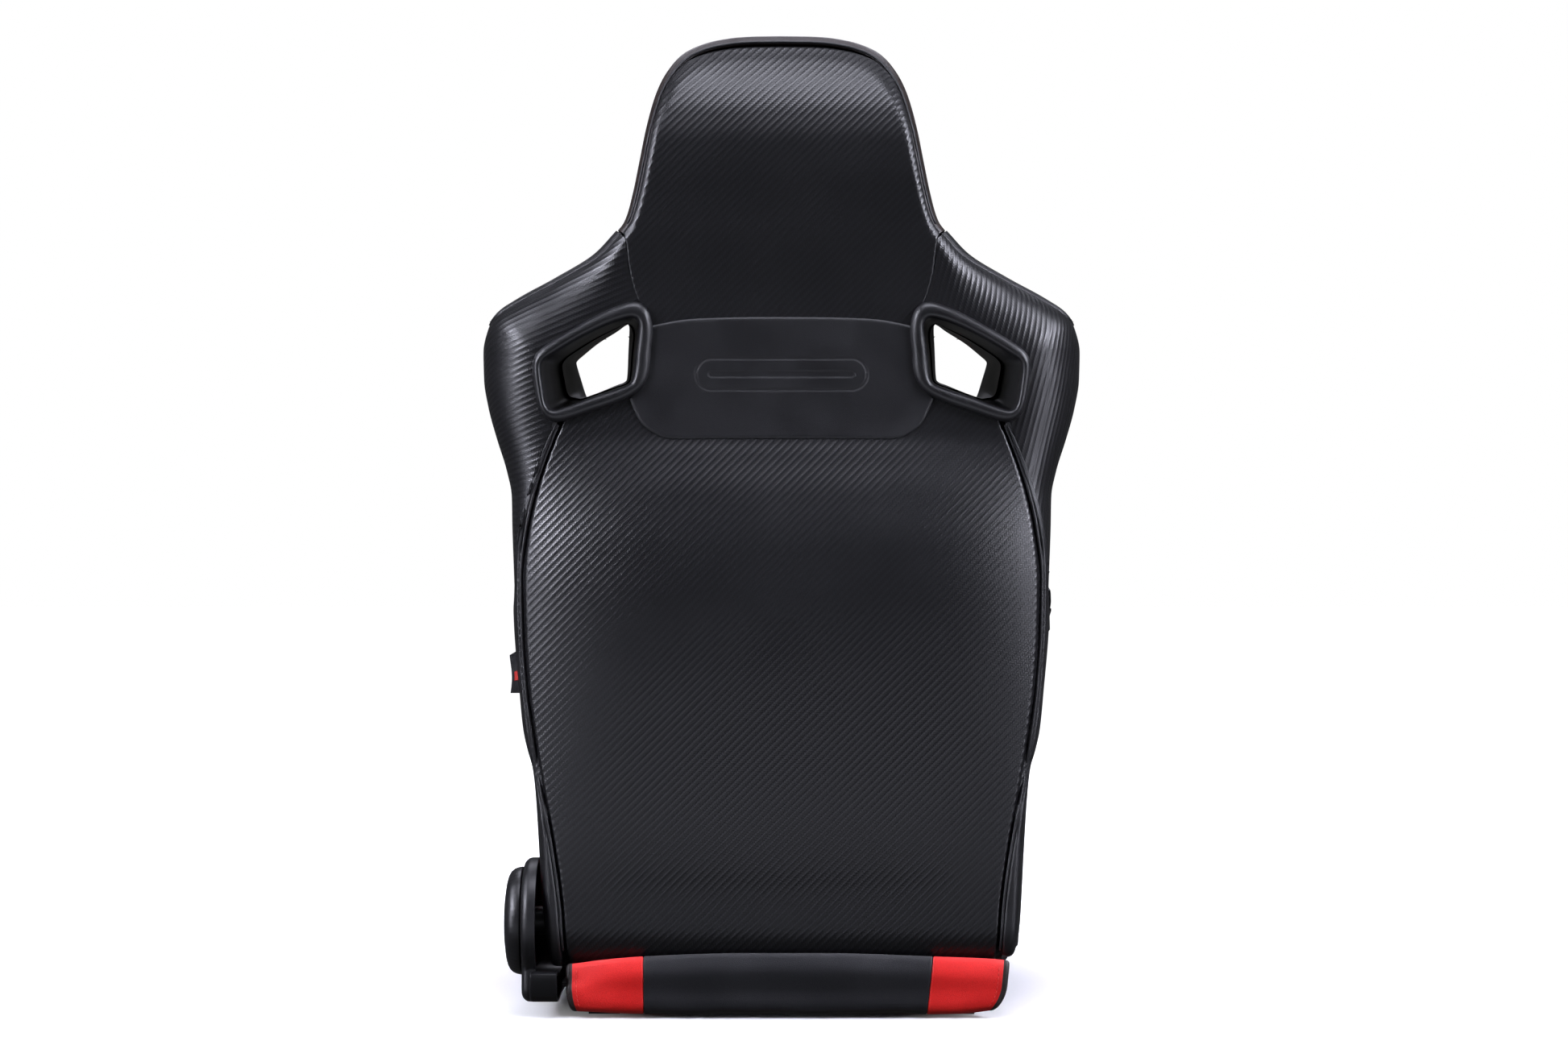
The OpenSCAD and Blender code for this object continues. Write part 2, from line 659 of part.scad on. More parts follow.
// Side of the lower back, between the piping and the outer edge. The part over the recliner is a
// thin flap that passes outside the bracket.
side_zs = [214, 240, 253, 275, 314, 372, 423, 470, 501, 525, 556];
side_depth = 33;
side_outline = concat(
    [for (z = side_zs) [half_at(z) - 1, z]],
    backwards([for (z = side_zs) [min(piping_at(z) + channel, half_at(z) - 9), z]])
);
flap_outline = [
    [bracket_out + 2.5, 58], [225, 58], [229, 100], [233, 173], [234, 226], [flap_in, 226],
    [flap_in, 112], [bracket_out + 2.5, 104]
];
module side_panel(side, tip) {
    color(vinyl_black) on_side(side) at_pivot() {
        fore_aft(side_outline, head_mid, side_depth);
        intersection() {
            across(tip, bracket_out + 1, 236);
            fore_aft(flap_outline, -64, side_depth - 1);
        }
    }
}
module side_panel_left() {
    side_panel(1, [
        [36, 58], [44, 100], [43, 226], [0, 226], [-58, 212], [-48, 172], [-20, 150], [14, 126],
        [26, 100], [26, 58]
    ]);
}
module side_panel_right() {
    side_panel(-1, [[36, 62], [44, 90], [43, 226], [0, 226], [-58, 212], [-50, 130], [-44, 84], [-20, 62]]);
}

// ---- Shoulders ----

wing_outline = [
    [128, 559], [277, 559], [286, 587], [291, 614], [292, 642], [287, 664], [277, 679],
    [256, 693], [220, 712], [181, 735], [165, 751], [155, 762], [149, 752], [138, 697], [128, 690]
];
wing_plan = [
    [120, wing_rear_y], [238, wing_rear_y], [268, 24], [284, 0], [293, -40], [288, -70],
    [272, wing_front_y], [120, wing_front_y]
];
wing_depth = [
    [wing_front_y, 550], [wing_front_y, 650], [-60, 700], [-34, 765], [wing_rear_y, 765],
    [wing_rear_y, 550]
];
module shoulder_wing(side) {
    color(carbon_black) on_side(side) at_pivot() difference() {
        intersection() {
            fore_aft(wing_outline, wing_front_y, wing_rear_y);
            upward(wing_plan, 550, 770);
            across(wing_depth, 100, 300);
        }
        fore_aft(slot_loop(slot_rear, bezel_wall), slot_mid_y, wing_rear_y + 1);
        fore_aft(slot_loop(slot_front, bezel_wall), wing_front_y - 1, slot_mid_y + 1);
    }
}
module shoulder_wing_left() { shoulder_wing(1); }
module shoulder_wing_right() { shoulder_wing(-1); }
// A bezel: a sleeve that lines the slot, and a rim that lies on the cover
module bezel(opening, sleeve0, sleeve1, rim0, rim1) {
    difference() {
        union() {
            fore_aft(slot_loop(opening, bezel_wall), min(sleeve0, rim0), max(sleeve1, rim1));
            fore_aft(slot_loop(opening, bezel_rim), rim0, rim1);
        }
        fore_aft(slot_loop(opening, 0), wing_front_y - 20, wing_rear_y + 20);
    }
}
module slot_bezel_rear(side) {
    color(shell_black) on_side(side) at_pivot()
        bezel(slot_rear, slot_mid_y, wing_rear_y, wing_rear_y, wing_rear_y + 9);
}
module slot_bezel_front(side) {
    color(shell_black) on_side(side) at_pivot()
        bezel(slot_front, wing_front_y, slot_mid_y, wing_front_y - 8, wing_front_y);
}
module slot_bezel_rear_left() { slot_bezel_rear(1); }
module slot_bezel_rear_right() { slot_bezel_rear(-1); }
module slot_bezel_front_left() { slot_bezel_front(1); }
module slot_bezel_front_right() { slot_bezel_front(-1); }

// ---- Trim ----

piping_r = 3.2;
piping_foot = 70;
piping_zs = [for (i = [0:22]) piping_foot + i * (554 - piping_foot) / 22];
module rear_piping(side) {
    // Below the recline axis the cord follows the round heel
    route = [for (z = piping_zs)
        let (out = rear_at(piping_at(z), max(z, pivot_z)) + 1, below = max(0, pivot_z - z))
        [piping_at(z), sqrt(out * out - below * below), z]];
    color(vinyl_black) on_side(side) at_pivot() cord(route, piping_r, 8, [0, 1, 0]);
}
module rear_piping_left() { rear_piping(1); }
module rear_piping_right() { rear_piping(-1); }
welt_r = 2.2;
welt_gap = 0.2;
// The head's edge from its side to the middle of its top, moved out by the cord's radius
welt_rows = concat([for (r = head_rows) if (r[0] > 750) [r[1], r[0]]], [[20, 946]]);
function welt_half() =
    [for (i = [1:len(welt_rows) - 2])
        let (t = unit(welt_rows[i + 1] - welt_rows[i - 1]), out = [t[1], -t[0]] * (welt_r + welt_gap))
        [welt_rows[i][0] + out[0], head_mid, welt_rows[i][1] + out[1]]];
module head_piping() {
    half = welt_half();
    route = concat(half, [for (i = [len(half) - 1:-1:0]) [-half[i][0], half[i][1], half[i][2]]]);
    color(vinyl_black) at_pivot() cord(route, welt_r, 8, [0, 1, 0]);
}
module side_label() {
    color(shell_black) at_pivot()
        fore_aft([[253.8, 308], [260, 309], [262, 316], [262, 343], [256, 352]], 8, 9.2);
}

base_rails();
base_cross_tubes();
mount_nuts();
seat_springs();
spring_clips();
cushion_foam();
cushion_insert();
cushion_bolster_left();
cushion_bolster_right();
cushion_tail();
tail_corner_left();
tail_corner_right();
recliner_bracket_left();
recliner_bracket_right();
bracket_bolts();
recliner_fixed_disc_left();
recliner_fixed_disc_right();
recliner_cover();
cover_screws();
recliner_shaft();
handwheel();
handwheel_cap();
back_frame();
back_cross_bars();
back_springs();
recliner_arm_left();
recliner_arm_right();
arm_bolts();
recliner_moving_disc_left();
recliner_moving_disc_right();
back_foam();
back_insert();
chest_panel();
back_bolster_left();
back_bolster_right();
rear_panel();
rear_band();
rear_head_panel();
head_cushion();
side_panel_left();
side_panel_right();
shoulder_wing_left();
shoulder_wing_right();
slot_bezel_rear_left();
slot_bezel_rear_right();
slot_bezel_front_left();
slot_bezel_front_right();
rear_piping_left();
rear_piping_right();
head_piping();
side_label();
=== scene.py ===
# Looks of the reclining racing seat: covers, padding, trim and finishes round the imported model.
# Lengths in the tables are millimetres, y measured from the recline axis and z from the floor.
import json
import math

import bmesh
import bpy
import numpy as np
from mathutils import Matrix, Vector


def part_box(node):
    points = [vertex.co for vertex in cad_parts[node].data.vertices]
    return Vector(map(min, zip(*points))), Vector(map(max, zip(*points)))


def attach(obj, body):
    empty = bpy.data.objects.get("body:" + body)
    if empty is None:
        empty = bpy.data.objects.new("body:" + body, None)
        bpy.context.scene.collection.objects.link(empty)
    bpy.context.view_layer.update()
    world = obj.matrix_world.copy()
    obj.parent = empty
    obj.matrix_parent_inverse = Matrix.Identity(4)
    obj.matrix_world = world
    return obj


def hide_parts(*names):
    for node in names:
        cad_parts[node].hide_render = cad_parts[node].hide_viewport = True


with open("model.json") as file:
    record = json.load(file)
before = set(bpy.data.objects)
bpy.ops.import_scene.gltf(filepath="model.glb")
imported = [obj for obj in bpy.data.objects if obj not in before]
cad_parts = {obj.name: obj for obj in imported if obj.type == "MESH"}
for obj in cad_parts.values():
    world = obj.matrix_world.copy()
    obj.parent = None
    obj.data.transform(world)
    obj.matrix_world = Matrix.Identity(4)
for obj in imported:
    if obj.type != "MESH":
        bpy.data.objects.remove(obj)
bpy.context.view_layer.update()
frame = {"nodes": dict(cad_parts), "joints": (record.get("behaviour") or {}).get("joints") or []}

MM = 0.001
RECLINE = next(j for j in frame["joints"] if j["name"] == "recline")
PIVOT_Y = RECLINE["pos_m"][1] / MM
PIVOT_Z = RECLINE["pos_m"][2] / MM
SIDES = {"left": 1, "right": -1}

# ---------------------------------------------------------------- tables and curves


def curve(rows):
    """A smooth function through (at, value) rows that doesn't overshoot; flat beyond its ends."""
    at, value = np.array(rows, float).T
    step = np.diff(at)
    slope = np.diff(value) / step
    tangent = np.zeros(len(at))
    tangent[0], tangent[-1] = slope[0], slope[-1]
    for i in range(1, len(at) - 1):
        a, b = slope[i - 1], slope[i]
        if a * b > 0:
            w1 = 2 * step[i] + step[i - 1]
            w2 = step[i] + 2 * step[i - 1]
            tangent[i] = (w1 + w2) / (w1 / a + w2 / b)

    def at_value(v):
        v = np.clip(np.asarray(v, float), at[0], at[-1])
        i = np.clip(np.searchsorted(at, v, side="right") - 1, 0, len(step) - 1)
        h = step[i]
        t = (v - at[i]) / h
        return (
            (1 + 2 * t) * (1 - t) ** 2 * value[i]
            + t * (1 - t) ** 2 * h * tangent[i]
            + t * t * (3 - 2 * t) * value[i + 1]
            + t * t * (t - 1) * h * tangent[i + 1]
        )

    return at_value


def length_along(points):
    """Distance along a route at each of its points."""
    return np.concatenate([[0], np.cumsum(np.linalg.norm(np.diff(points, axis=0), axis=1))])


def at_lengths(points, along, want):
    """Points of a route, which lie at known distances along it, at some other distances."""
    return np.stack([np.interp(want, along, points[:, k]) for k in range(points.shape[1])], 1)


def at_shares(points, shares):
    """Points of a route at shares of its length."""
    along = length_along(points)
    return at_lengths(points, along, np.asarray(shares) * along[-1])


def spread(points, count):
    """count points evenly spaced along a route."""
    points = np.asarray(points, float)
    along = length_along(points)
    return at_lengths(points, along, np.linspace(0, along[-1], count))


def spline(points, count=60, closed=False):
    """A smooth route through the points, evenly spaced."""
    p = np.asarray(points, float)
    if closed:
        p = np.concatenate([p[-1:], p, p[:2]])
    else:
        p = np.concatenate([[2 * p[0] - p[1]], p, [2 * p[-1] - p[-2]]])
    route = []
    for i in range(1, len(p) - 2):
        a, b, c, d = p[i - 1 : i + 3]
        for t in np.linspace(0, 1, 12, endpoint=False):
            route.append(
                0.5 * (2 * b + (c - a) * t + (2 * a - 5 * b + 4 * c - d) * t**2
                       + (3 * b - a - 3 * c + d) * t**3)
            )
    route.append(p[-2])
    even = spread(route, count + 1 if closed else count)
    return even[:-1] if closed else even


def smoothstep(t):
    """A soft step from 0 to 1 as t goes from 0 to 1."""
    t = np.clip(t, 0, 1)
    return t * t * (3 - 2 * t)


# ---------------------------------------------------------------- form of the back

# Half width of the back, seen from behind, against height
half = curve([
    (40, 225), (58, 226), (100, 229), (173, 233), (216, 236), (240, 239), (253, 243), (275, 248),
    (314, 252), (372, 257), (423, 259), (470, 261), (501, 262), (525, 267), (556, 277),
    (587, 286), (614, 291), (642, 292), (664, 287), (679, 277), (693, 256), (712, 220),
    (735, 181), (751, 165), (767, 152), (794, 144), (823, 138), (858, 131), (888, 123),
    (905, 116), (920, 106.5), (932, 95), (941, 78), (947, 55), (949.6, 28), (950, 0),
])
# Line of the piping between the lower rear panel and the sides
piping = curve([
    (40, 205), (58, 209), (110, 213), (173, 222), (220, 231), (275, 240), (314, 245), (372, 249),
    (423, 250), (470, 245), (510, 236), (556, 220), (572, 213),
])
rear_middle = curve([
    (89, 50), (104, 50), (120, 51), (146, 55), (200, 62), (280, 70), (350, 76), (400, 78), (450, 74),
    (500, 62), (540, 47), (560, 40), (600, 37), (690, 37), (760, 40), (800, 40), (840, 37), (870, 29),
    (890, 20), (905, 11), (920, 0), (935, -12), (950, -22),
])
rear_edge = curve([
    (89, 47), (150, 45), (200, 44), (280, 43), (400, 43), (450, 42), (500, 40), (560, 38),
    (690, 37), (760, 38), (800, 37.5), (840, 35), (870, 27), (890, 18), (905, 10), (920, 0), (935, -12),
    (950, -22),
])
# Depth of the outer edge, and how far in the rear and the front round off towards it
edge_depth = curve([
    (58, 4), (200, 0), (300, -6), (450, -8), (560, -20), (640, -38), (690, -30), (760, -14),
    (850, -14), (920, -16), (950, -26),
])
rear_round = curve([
    (58, 9), (200, 10), (400, 14), (470, 22), (520, 38), (570, 52), (640, 60), (690, 44),
    (730, 22), (770, 15), (850, 16), (885, 22), (920, 28), (950, 32),
])
front_round = curve([
    (58, 3), (214, 4), (236, 12), (262, 26), (300, 36), (400, 40), (560, 44), (640, 46),
    (690, 40), (760, 50), (950, 62),
])
front_middle = curve([
    (89, -49), (130, -52), (180, -58), (230, -58), (300, -52), (400, -42), (480, -36),
    (560, -34), (640, -36), (690, -42), (740, -58), (800, -74), (860, -80), (910, -76), (950, -66),
])
# Depth and place of the bolster's and the shoulder's crest
crest_depth = curve([
    (58, -58), (128, -58), (170, -68), (214, -86), (246, -118), (290, -136), (350, -145), (420, -146),
    (490, -138), (540, -124), (580, -110), (640, -98), (690, -74), (730, -58), (765, -50),
])
crest_x = curve([(58, 205), (128, 205), (214, 205), (300, 215), (500, 216), (560, 224), (620, 236),
                 (660, 226), (700, 200), (740, 172), (765, 160)])
insert_edge = curve([(98, 150), (500, 150), (540, 142), (585, 128), (690, 128), (730, 140), (765, 146)])

outline_z = np.concatenate([np.linspace(40, 930, 260), 950 - np.linspace(math.sqrt(20), 0, 60)[1:] ** 2])
outline = np.stack([half(outline_z), outline_z], 1)


def edge_distance(x, z):
    """Distance from points inside the back's outline, seen from behind, to that outline."""
    p = np.stack([np.abs(x).ravel(), np.asarray(z, float).ravel()], 1)
    a, b = outline[:-1], outline[1:]
    ab = b - a
    best = np.full(len(p), 1e9)
    for start in range(0, len(p), 4000):
        q = p[start : start + 4000]
        t = ((q[:, None] - a) * ab).sum(2) / (ab * ab).sum(1)
        near = a + np.clip(t, 0, 1)[..., None] * ab
        best[start : start + 4000] = np.linalg.norm(q[:, None] - near, axis=2).min(1)
    return best.reshape(np.shape(x))


def rounded(distance, radius):
    """Share of its full rise that a round edge has at a distance in from it."""
    return np.sqrt(1 - (1 - np.clip(distance / radius, 0, 1)) ** 2)


def rolled(gap, radius):
    """How far a rolled edge has dropped at a distance in from it."""
    return radius * (1 - rounded(gap, radius))


def rear_depth(x, z):
    """Depth of the back's rear face."""
    side = rear_edge(z)
    share = np.clip(np.abs(x) / piping(z), 0, 1)
    base = side + (rear_middle(z) - side) * (1 - share**4)
    edge = edge_depth(z)
    return edge + (base - edge) * rounded(edge_distance(x, z), rear_round(z))


def front_depth(x, z):
    """Depth of the back's front face."""
    inner, crest = insert_edge(z), crest_x(z)
    rise = smoothstep((np.abs(x) - inner) / (crest - inner))
    base = front_middle(z) + (crest_depth(z) - front_middle(z)) * rise
    edge = edge_depth(z)
    return edge + (base - edge) * rounded(edge_distance(x, z), front_round(z))


def distance_to(points, flat):
    """Distance from each of a patch's (x, z) points to the nearest of some others."""
    gap = np.full(flat.shape[:-1], 1e9)
    for x, z in points:
        gap = np.minimum(gap, np.hypot(flat[..., 0] - x, flat[..., 1] - z))
    return gap


def on_rear(xz):
    """Points of the rear face at (x, z)."""
    return np.stack([xz[..., 0], rear_depth(xz[..., 0], xz[..., 1]), xz[..., 1]], -1)


def on_front(xz):
    """Points of the front face at (x, z)."""
    return np.stack([xz[..., 0], front_depth(xz[..., 0], xz[..., 1]), xz[..., 1]], -1)


# ---------------------------------------------------------------- building meshes


def unit(v):
    """Vectors scaled to length 1 along the last axis."""
    return v / np.maximum(np.linalg.norm(v, axis=-1, keepdims=True), 1e-9)


def grid_normals(grid):
    return unit(np.cross(np.gradient(grid, axis=0), np.gradient(grid, axis=1)))


def normals(grid, outward):
    """Unit normals of a grid of points, on the side that outward points to overall."""
    n = grid_normals(grid)
    return n if (n * np.array(outward)).sum() > 0 else -n


def normals_toward(grid, facing):
    """Unit normals of a grid, each turned to the side that facing points to there."""
    n = grid_normals(grid)
    return n * np.where((n * facing).sum(2) >= 0, 1, -1)[..., None]


def lifted(grid, amount, outward):
    """A grid moved out along its normals."""
    amount = np.asarray(amount, float)
    return grid + normals(grid, outward) * (amount[..., None] if amount.ndim else amount)


def coons(bottom, top, left, right):
    """A patch of (x, z) points between four routes. Bottom and top run from left to right."""
    rows, cols = len(left), len(bottom)
    u = length_along((bottom + top) / 2)
    u = (u / u[-1])[None, :, None]
    v = length_along((left + right) / 2)
    v = (v / v[-1])[:, None, None]
    ruled = (1 - v) * bottom[None] + v * top[None] + (1 - u) * left[:, None] + u * right[:, None]
    corners = ((1 - u) * (1 - v) * bottom[0] + u * (1 - v) * bottom[-1]
               + (1 - u) * v * top[0] + u * v * top[-1])
    return (ruled - corners).reshape(rows, cols, 2)


def dense_ends(count, power=0.75):
    """Shares from 0 to 1, closer together at both ends."""
    t = np.linspace(0, 1, count)
    return power * (1 - np.cos(math.pi * t)) / 2 + (1 - power) * t


def grid_shell(grid, thickness, outward, keep=None):
    """A closed shell under a grid of points. keep says which of the grid's cells are there."""
    rows, cols = grid.shape[:2]
    under = lifted(grid, -np.broadcast_to(np.asarray(thickness, float), (rows, cols)), outward)
    count = rows * cols
    facing = np.cross(np.gradient(grid, axis=0), np.gradient(grid, axis=1))
    flip = (facing * np.array(outward, float)).sum() < 0
    faces, edges = [], {}
    for i in range(rows - 1):
        for j in range(cols - 1):
            if keep is not None and not keep[i, j]:
                continue
            a = i * cols + j
            quad = [a, a + cols, a + cols + 1, a + 1]
            if flip:
                quad.reverse()
            faces.append(quad)
            faces.append([k + count for k in reversed(quad)])
            for k in range(4):
                edge = (quad[k], quad[(k + 1) % 4])
                if edge[::-1] in edges:
                    del edges[edge[::-1]]
                else:
                    edges[edge] = True
    for a, b in edges:
        faces.append([b, a, a + count, b + count])
    return np.concatenate([grid.reshape(-1, 3), under.reshape(-1, 3)]), faces


def loops_mesh(loops, closed_ring=False, caps=True):
    """A mesh over closed loops of points. closed_ring joins the last loop to the first."""
    count = len(loops[0])
    verts = np.concatenate(loops)
    pairs = [(k, k + 1) for k in range(len(loops) - 1)]
    if closed_ring:
        pairs.append((len(loops) - 1, 0))
    faces = [
        [a * count + i, a * count + (i + 1) % count, b * count + (i + 1) % count, b * count + i]
        for a, b in pairs for i in range(count)
    ]
    if caps and not closed_ring:
        faces.append(list(range(count - 1, -1, -1)))
        faces.append([(len(loops) - 1) * count + i for i in range(count)])
    return verts, faces


def tube(route, radius, sides=10, closed=False):
    """A round cord along a route, with domed ends where it isn't closed."""
    route = np.asarray(route, float)
    count = len(route)
    ahead = unit(np.roll(route, -1, 0) - np.roll(route, 1, 0) if closed else np.gradient(route, axis=0))
    radius = np.broadcast_to(np.asarray(radius, float), count)
    side = np.cross(ahead[0], [0.3, 0.9, 0.2])
    loops = []
    for i in range(count):
        side = side - ahead[i] * side.dot(ahead[i])
        side /= np.linalg.norm(side)
        up = np.cross(ahead[i], side)
        turn = np.linspace(0, 2 * math.pi, sides, endpoint=False)[:, None]
        loops.append(route[i] + radius[i] * (np.cos(turn) * side + np.sin(turn) * up))
    if not closed:
        first = route[0] + 0.45 * (loops[0] - route[0]) - ahead[0] * radius[0] * 0.6
        last = route[-1] + 0.45 * (loops[-1] - route[-1]) + ahead[-1] * radius[-1] * 0.6
        loops = [first, *loops, last]
    return loops_mesh(loops, closed_ring=closed)


def joined(*meshes):
    """Several meshes as one."""
    verts, faces, start = [], [], 0
    for v, f in meshes:
        verts.append(v)
        faces.extend([[k + start for k in face] for face in f])
        start += len(v)
    return np.concatenate(verts), faces


def mirrored(mesh):
    """A mesh seen in the seat's middle plane."""
    verts, faces = mesh
    return verts * [-1, 1, 1], [list(reversed(f)) for f in faces]


def on_side(mesh, side):
    """A mesh made for the sitter's left, on the side asked for."""
    return mesh if side > 0 else mirrored(mesh)


def linked(name, data):
    """A new object in the scene."""
    made = bpy.data.objects.new(name, data)
    bpy.context.scene.collection.objects.link(made)
    return made


def add(name, mesh, material, body, replaces=(), uv=None, crease=48):
    """A new piece from millimetre points, riding on a body. uv gives places on the cover's cloth."""
    verts, faces = mesh
    data = bpy.data.meshes.new(name)
    data.from_pydata(((verts + [0, PIVOT_Y, 0]) * MM).tolist(), [], faces)
    if uv is not None:
        layer = data.uv_layers.new(name="cloth")
        corner = np.zeros(len(data.loops), np.int32)
        data.loops.foreach_get("vertex_index", corner)
        layer.data.foreach_set("uv", (np.asarray(uv)[corner] * MM).ravel())
    data.shade_smooth()
    data.set_sharp_from_angle(angle=math.radians(crease))
    data.materials.append(material)
    piece = linked(name, data)
    if replaces:
        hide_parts(*replaces)
    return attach(piece, body)


def add_padded(name, mesh, material, nodes, body="base", uv=None):
    """A new padded piece that stands for some of the model's soft parts."""
    piece = add(name, mesh, material, body, nodes, uv, crease=60)
    return piece


# ---------------------------------------------------------------- materials


class Finish:
    """A material's node graph, built by short calls."""

    def __init__(self, name, **shader):
        self.material = bpy.data.materials.new(name)
        self.material.use_nodes = True
        self.tree = self.material.node_tree
        self.shader = self.tree.nodes["Principled BSDF"]
        for socket, value in shader.items():
            self.shader.inputs[socket.replace("_", " ")].default_value = value

    def node(self, kind, inputs=(), **settings):
        made = self.tree.nodes.new(kind)
        for name, value in settings.items():
            setattr(made, name, value)
        for socket, value in dict(inputs).items():
            self.put(made.inputs[socket], value)
        return made

    def put(self, socket, value):
        if isinstance(value, bpy.types.NodeSocket):
            self.tree.links.new(value, socket)
        else:
            socket.default_value = value

    def set(self, socket, value):
        self.put(self.shader.inputs[socket], value)

    def math(self, operation, *values):
        made = self.tree.nodes.new("ShaderNodeMath")
        made.operation = operation
        for k, value in enumerate(values):
            self.put(made.inputs[k], value)
        return made.outputs[0]

    def mix(self, factor, a, b):
        made = self.node("ShaderNodeMix", data_type="RGBA")
        for socket, value in zip((made.inputs[0], made.inputs[6], made.inputs[7]), (factor, a, b)):
            self.put(socket, value)
        return made.outputs[2]

    def noise(self, scale, detail=3, where=None):
        where = where or self.place()
        inputs = {"Vector": where, "Scale": scale, "Detail": detail}
        return self.node("ShaderNodeTexNoise", inputs).outputs["Fac"]

    def place(self):
        return self.node("ShaderNodeTexCoord").outputs["Object"]

    def spread(self, value, low, high, to_low, to_high):
        inputs = {"Value": value, "From Min": low, "From Max": high, "To Min": to_low, "To Max": to_high}
        return self.node("ShaderNodeMapRange", inputs).outputs[0]

    def clouded(self, cloud, low, high):
        """A slow change of colour that follows a noise."""
        return self.mix(self.spread(cloud, 0.3, 0.7, 0, 1), (*low, 1), (*high, 1))

    def clouded_gloss(self, cloud, low, high):
        """A slow change of roughness that follows a noise."""
        self.set("Roughness", self.spread(cloud, 0.3, 0.7, low, high))

    def bump(self, height, distance, strength=1.0, over=None):
        """Bump from a height, on top of another."""
        inputs = {"Height": height, "Distance": distance, "Strength": strength}
        if over is not None:
            inputs["Normal"] = over
        made = self.node("ShaderNodeBump", inputs).outputs[0]
        self.set("Normal", made)
        return made


# Width of one yarn of the embossed cloth, in metres
YARN = 0.001945


def carbon_vinyl():
    """Vinyl embossed as a two by two twill, from the piece's own cloth coordinates, with painted sheen on the
    warp floats and painted shade in the weave's hollows.
    """
    m = Finish("carbon_vinyl", Specular_IOR_Level=0.5)
    cloth = m.node("ShaderNodeUVMap", uv_map="cloth").outputs[0]
    parts = m.node("ShaderNodeSeparateXYZ", {0: cloth})
    a = m.math("DIVIDE", parts.outputs[0], YARN)
    b = m.math("DIVIDE", parts.outputs[1], YARN)
    column, row = m.math("FLOOR", a), m.math("FLOOR", b)
    up = m.math("FLOORED_MODULO", m.math("SUBTRACT", b, column), 4.0)
    across = m.math("FLOORED_MODULO", m.math("SUBTRACT", m.math("SUBTRACT", a, row), 1.0), 4.0)
    is_warp = m.math("LESS_THAN", up, 2.0)

    def arch(value, span):
        return m.math("SINE", m.math("MULTIPLY", value, math.pi / span))

    warp = m.math("POWER", m.math("MULTIPLY", arch(m.math("FRACT", a), 1), arch(up, 2)), 0.6)
    weft_share = m.math("MINIMUM", across, 2.0)
    weft = m.math("MULTIPLY", m.math("POWER", m.math("MULTIPLY", arch(m.math("FRACT", b), 1),
                                                     arch(weft_share, 2)), 0.6), 0.7)
    height = m.math("ADD", m.math("MULTIPLY", is_warp, warp),
                    m.math("MULTIPLY", m.math("SUBTRACT", 1.0, is_warp), weft))
    cloud = m.noise(14, 2)
    # Warp floats are coloured lighter than the weft as painted sheen, and the weave's low spots are darkened
    # as painted shade.
    yarn = m.mix(is_warp, (0.0016, 0.0016, 0.0022, 1), (0.0072, 0.0072, 0.0088, 1))
    dark = m.mix(m.spread(height, 0.0, 0.5, 1.0, 0.0), yarn, (0.0008, 0.0008, 0.0011, 1))
    tone_with_painted_sheen_and_shade = m.mix(m.spread(cloud, 0.35, 0.65, 0.0, 0.25), dark, (0.0032, 0.0032, 0.0041, 1))
    m.set("Base Color", tone_with_painted_sheen_and_shade)
    rough = m.math("ADD", m.spread(is_warp, 0, 1, 0.41, 0.30), m.spread(cloud, 0.3, 0.7, -0.02, 0.02))
    m.set("Roughness", rough)
    grain = m.bump(m.noise(1900, 2), 0.00004, 0.6)
    weave = m.bump(height, 0.00010, 1.0, grain)
    # Rows of warp floats stand up as ribs that cross the cloth diagonally
    rib = m.math("SINE", m.math("MULTIPLY", m.math("ADD", m.math("SUBTRACT", b, a), 0.5), math.pi / 2))
    m.bump(m.spread(rib, -1, 1, 0, 1), 0.00020, 1.0, weave)
    return m.material


def grained_vinyl(name, low, high, rough, depth=0.00007):
    """Leather-look vinyl: a fine cell grain with painted shade in its pits, over slow changes of tone."""
    m = Finish(name, Specular_IOR_Level=0.5, Sheen_Weight=0.0, Sheen_Roughness=0.5)
    where = m.place()
    cells = m.node("ShaderNodeTexVoronoi", {"Vector": where, "Scale": 1100}, feature="DISTANCE_TO_EDGE")
    pore = m.spread(cells.outputs["Distance"], 0.0, 0.25, 0.0, 1.0)
    cloud = m.noise(22, 3, where)
    tone = m.clouded(cloud, low, high)
    # The grain's sunken cell edges are darkened as painted shade.
    painted_pit_shade = tuple(0.55 * v for v in low)
    m.set("Base Color", m.mix(m.spread(pore, 0, 1, 0.5, 0), tone, (*painted_pit_shade, 1)))
    m.clouded_gloss(cloud, rough - 0.04, rough + 0.05)
    soft = m.bump(m.noise(120, 2, where), 0.0002, 0.35)
    m.bump(pore, depth, 0.9, soft)
    return m.material


def moulded_plastic(name, low, high, rough):
    """Black moulding with a spark-eroded texture and a slowly varying gloss."""
    m = Finish(name, Specular_IOR_Level=0.5)
    where = m.place()
    cloud = m.noise(30, 3, where)
    m.set("Base Color", m.clouded(cloud, low, high))
    m.clouded_gloss(cloud, rough - 0.06, rough + 0.05)
    m.bump(m.noise(1500, 3, where), 0.00006, 0.8)
    return m.material


def painted_steel():
    """Black paint, worn in small patches."""
    m = Finish("painted_steel", Specular_IOR_Level=0.5, Coat_Weight=0.25, Coat_Roughness=0.25)
    where = m.place()
    cloud = m.noise(26, 4, where)
    worn = m.spread(m.noise(160, 5, where), 0.66, 0.72, 0.0, 0.8)
    paint = m.clouded(cloud, (0.011, 0.011, 0.012), (0.02, 0.02, 0.021))
    m.set("Base Color", m.mix(worn, paint, (0.05, 0.048, 0.045, 1)))
    m.clouded_gloss(cloud, 0.34, 0.46)
    m.bump(m.noise(420, 2, where), 0.00015, 0.5)
    return m.material


